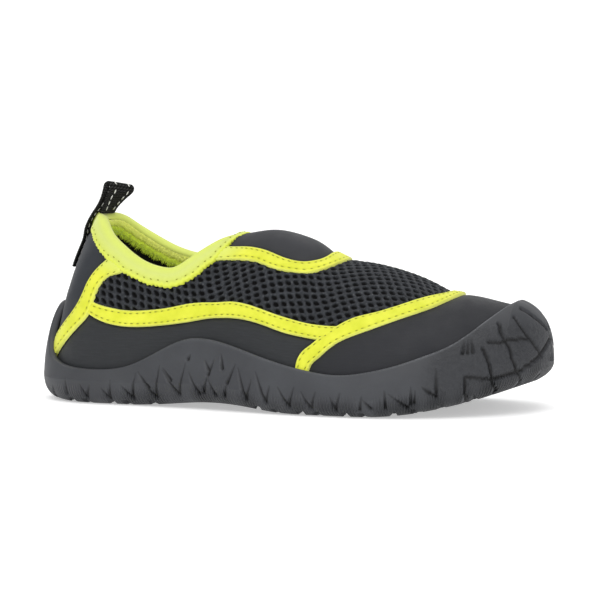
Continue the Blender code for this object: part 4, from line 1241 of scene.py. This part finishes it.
def make_loop():
    across = np.linspace(-LOOP_WIDTH / 2, LOOP_WIDTH / 2, 21)
    rows = [heel_row(z, off, across) for z, off in LOOP_OUTER]
    for x, z, twist, curl in LOOP_FREE:
        c, s = math.cos(math.radians(twist)), math.sin(math.radians(twist))
        rows.append([(x + y * s + curl * (2 * y / LOOP_WIDTH) ** 2, y * c, z - 0.17 * y * float(smoothstep(73, 80, z))) for y in across])
    rows = np.array(rows)
    mid = lengths(rows[:, 10])
    print("webbing length", round(float(mid[-1]), 1))
    at = np.linspace(0, mid[-1], int(mid[-1] / 0.32))
    rows = np.stack([np.stack([spline(mid, rows[:, j, k])(at) for k in range(3)], -1) for j in range(len(across))], 1)
    n = grid_normals(rows)
    for _ in range(2):
        n = unit((np.roll(n, 1, 0) + n + np.roll(n, -1, 0))[...])
    n[0], n[-1] = n[1], n[-2]
    v = np.abs(across / (LOOP_WIDTH / 2))[None]
    half = LOOP_THICK / 2 * (1 - v ** 8) ** 0.5 + 0.10 * np.exp(-((v - 0.9) / 0.06) ** 2)
    rib = 0.05 * np.sin(2 * np.pi * at / 1.25)[:, None] * (1 - v ** 6)
    sides = [rows + n * (half + rib)[..., None], rows - n * (half + rib)[..., None]]
    piece = Piece()
    uv = (at[:, None] + 0 * half, across[None] + 0 * half + 0 * at[:, None])
    piece.grid(sides[0], uv=uv)
    piece.grid(sides[1], uv=uv, flip=True)
    for i in (0, -1):
        piece.grid(np.stack([sides[0][i], sides[1][i]], 0), flip=i == 0)
    ob = piece.object("heel_loop", [WEBBING], stand_in=["pull_loop"])
    thread = Piece()
    for y in (-2.6, 2.6):
        j = (y + LOOP_WIDTH / 2) / LOOP_WIDTH * 20
        j0 = int(j)
        for face, sign in ((0, 1), (1, -1)):
            for s in np.arange(1.0, at[-1] - 1.0, 2.6):
                i = int(np.clip(np.searchsorted(at, s), 1, len(at) - 2))
                g = sides[face]
                c = g[i, j0] * (1 - (j - j0)) + g[i, j0 + 1] * (j - j0)
                stitches(thread, [c + n[i, j0] * sign * 0.06], [g[i + 1, j0] - g[i - 1, j0]], [n[i, j0] * sign], 1.75, 0.24)
    thread.object("loop_stitches", [WHITE])
    return ob


LOOP = make_loop()
STITCHES = olive.object("tape_stitches", [OLIVE])

# ---------------------------------------------------------------- stage, light and camera
print("stage")


def make_stage():
    """A pale floor that sweeps up behind the shoe."""
    ys = np.concatenate([np.linspace(-2.6, 1.2, 20), 1.2 + 0.9 * np.sin(np.linspace(0, np.pi / 2, 14)[1:]), [2.1]])
    zs = np.concatenate([np.zeros(20), 0.9 * (1 - np.cos(np.linspace(0, np.pi / 2, 14)[1:])), [3.4]])
    mesh = bpy.data.meshes.new("floor")
    xs = np.linspace(-3.2, 3.2, 9)
    v = [(x, y, z) for y, z in zip(ys, zs) for x in xs]
    f = [(i * 9 + j, i * 9 + j + 1, (i + 1) * 9 + j + 1, (i + 1) * 9 + j) for i in range(len(ys) - 1) for j in range(8)]
    mesh.from_pydata(v, [], f)
    mesh.shade_smooth()
    ob = bpy.data.objects.new("floor", mesh)
    bpy.context.scene.collection.objects.link(ob)
    ob.rotation_euler = (0, 0, math.radians(22))
    m = Look("floor_paper", 0.9, 0.1)
    m.colour(m.ramp(m.noise(3.0, 2.0), [(0.2, GREY(0.86)), (0.8, GREY(0.88))]))
    m.bump(m.noise(600.0, 2.0), 0.0001, 0.1)
    m.shader.inputs["Emission Color"].default_value = (1, 1, 1, 1)
    m.shader.inputs["Emission Strength"].default_value = 0.42
    mesh.materials.append(m.mat)


def area_light(name, place, aim, size, power, colour=(1, 1, 1)):
    data = bpy.data.lights.new(name, "AREA")
    data.shape, data.size, data.size_y, data.energy, data.color = "RECTANGLE", size[0], size[1], power, colour
    ob = bpy.data.objects.new(name, data)
    ob.location = place
    ob.rotation_euler = (Vector(aim) - Vector(place)).to_track_quat("-Z", "Y").to_euler()
    bpy.context.scene.collection.objects.link(ob)


make_stage()
area_light("key", (0.15, -0.9, 1.25), (0, 0, 0.03), (1.3, 1.0), 9.5)
area_light("fill_toe", (1.25, -0.9, 0.5), (0, 0, 0.03), (0.8, 0.8), 2.4)
area_light("top", (-0.1, 0.25, 1.4), (0, 0, 0.0), (1.4, 1.2), 5.5)
world = bpy.data.worlds.new("studio")
world.use_nodes = True
world.node_tree.nodes["Background"].inputs["Color"].default_value = (1, 1, 1, 1)
world.node_tree.nodes["Background"].inputs["Strength"].default_value = 0.5
bpy.context.scene.world = world
bpy.context.scene.view_settings.view_transform = "Standard"

AZ, EL, ROLL, DIST = math.radians(22), math.radians(4.3), math.radians(-0.5), 1.0
back = Vector((math.sin(AZ) * math.cos(EL), -math.cos(AZ) * math.cos(EL), math.sin(EL)))
right = Vector((math.cos(AZ), math.sin(AZ), 0))
up = back.cross(right)
right, up = right * math.cos(ROLL) + up * math.sin(ROLL), up * math.cos(ROLL) - right * math.sin(ROLL)
target = Vector(((101.2 - X_MID) / 1000, (1.6 - Y_MID) / 1000, 0.03785))
camera = bpy.data.cameras.new("photo_view")
camera.lens, camera.sensor_width, camera.sensor_fit = 2735 * 36 / 600, 36.0, "HORIZONTAL"
camera.clip_start, camera.clip_end = 0.01, 30
cam = bpy.data.objects.new("photo_view", camera)
at = target + back * DIST
cam.matrix_world = Matrix(((right.x, up.x, back.x, at.x), (right.y, up.y, back.y, at.y), (right.z, up.z, back.z, at.z), (0, 0, 0, 1)))
bpy.context.scene.collection.objects.link(cam)
bpy.context.scene.camera = cam
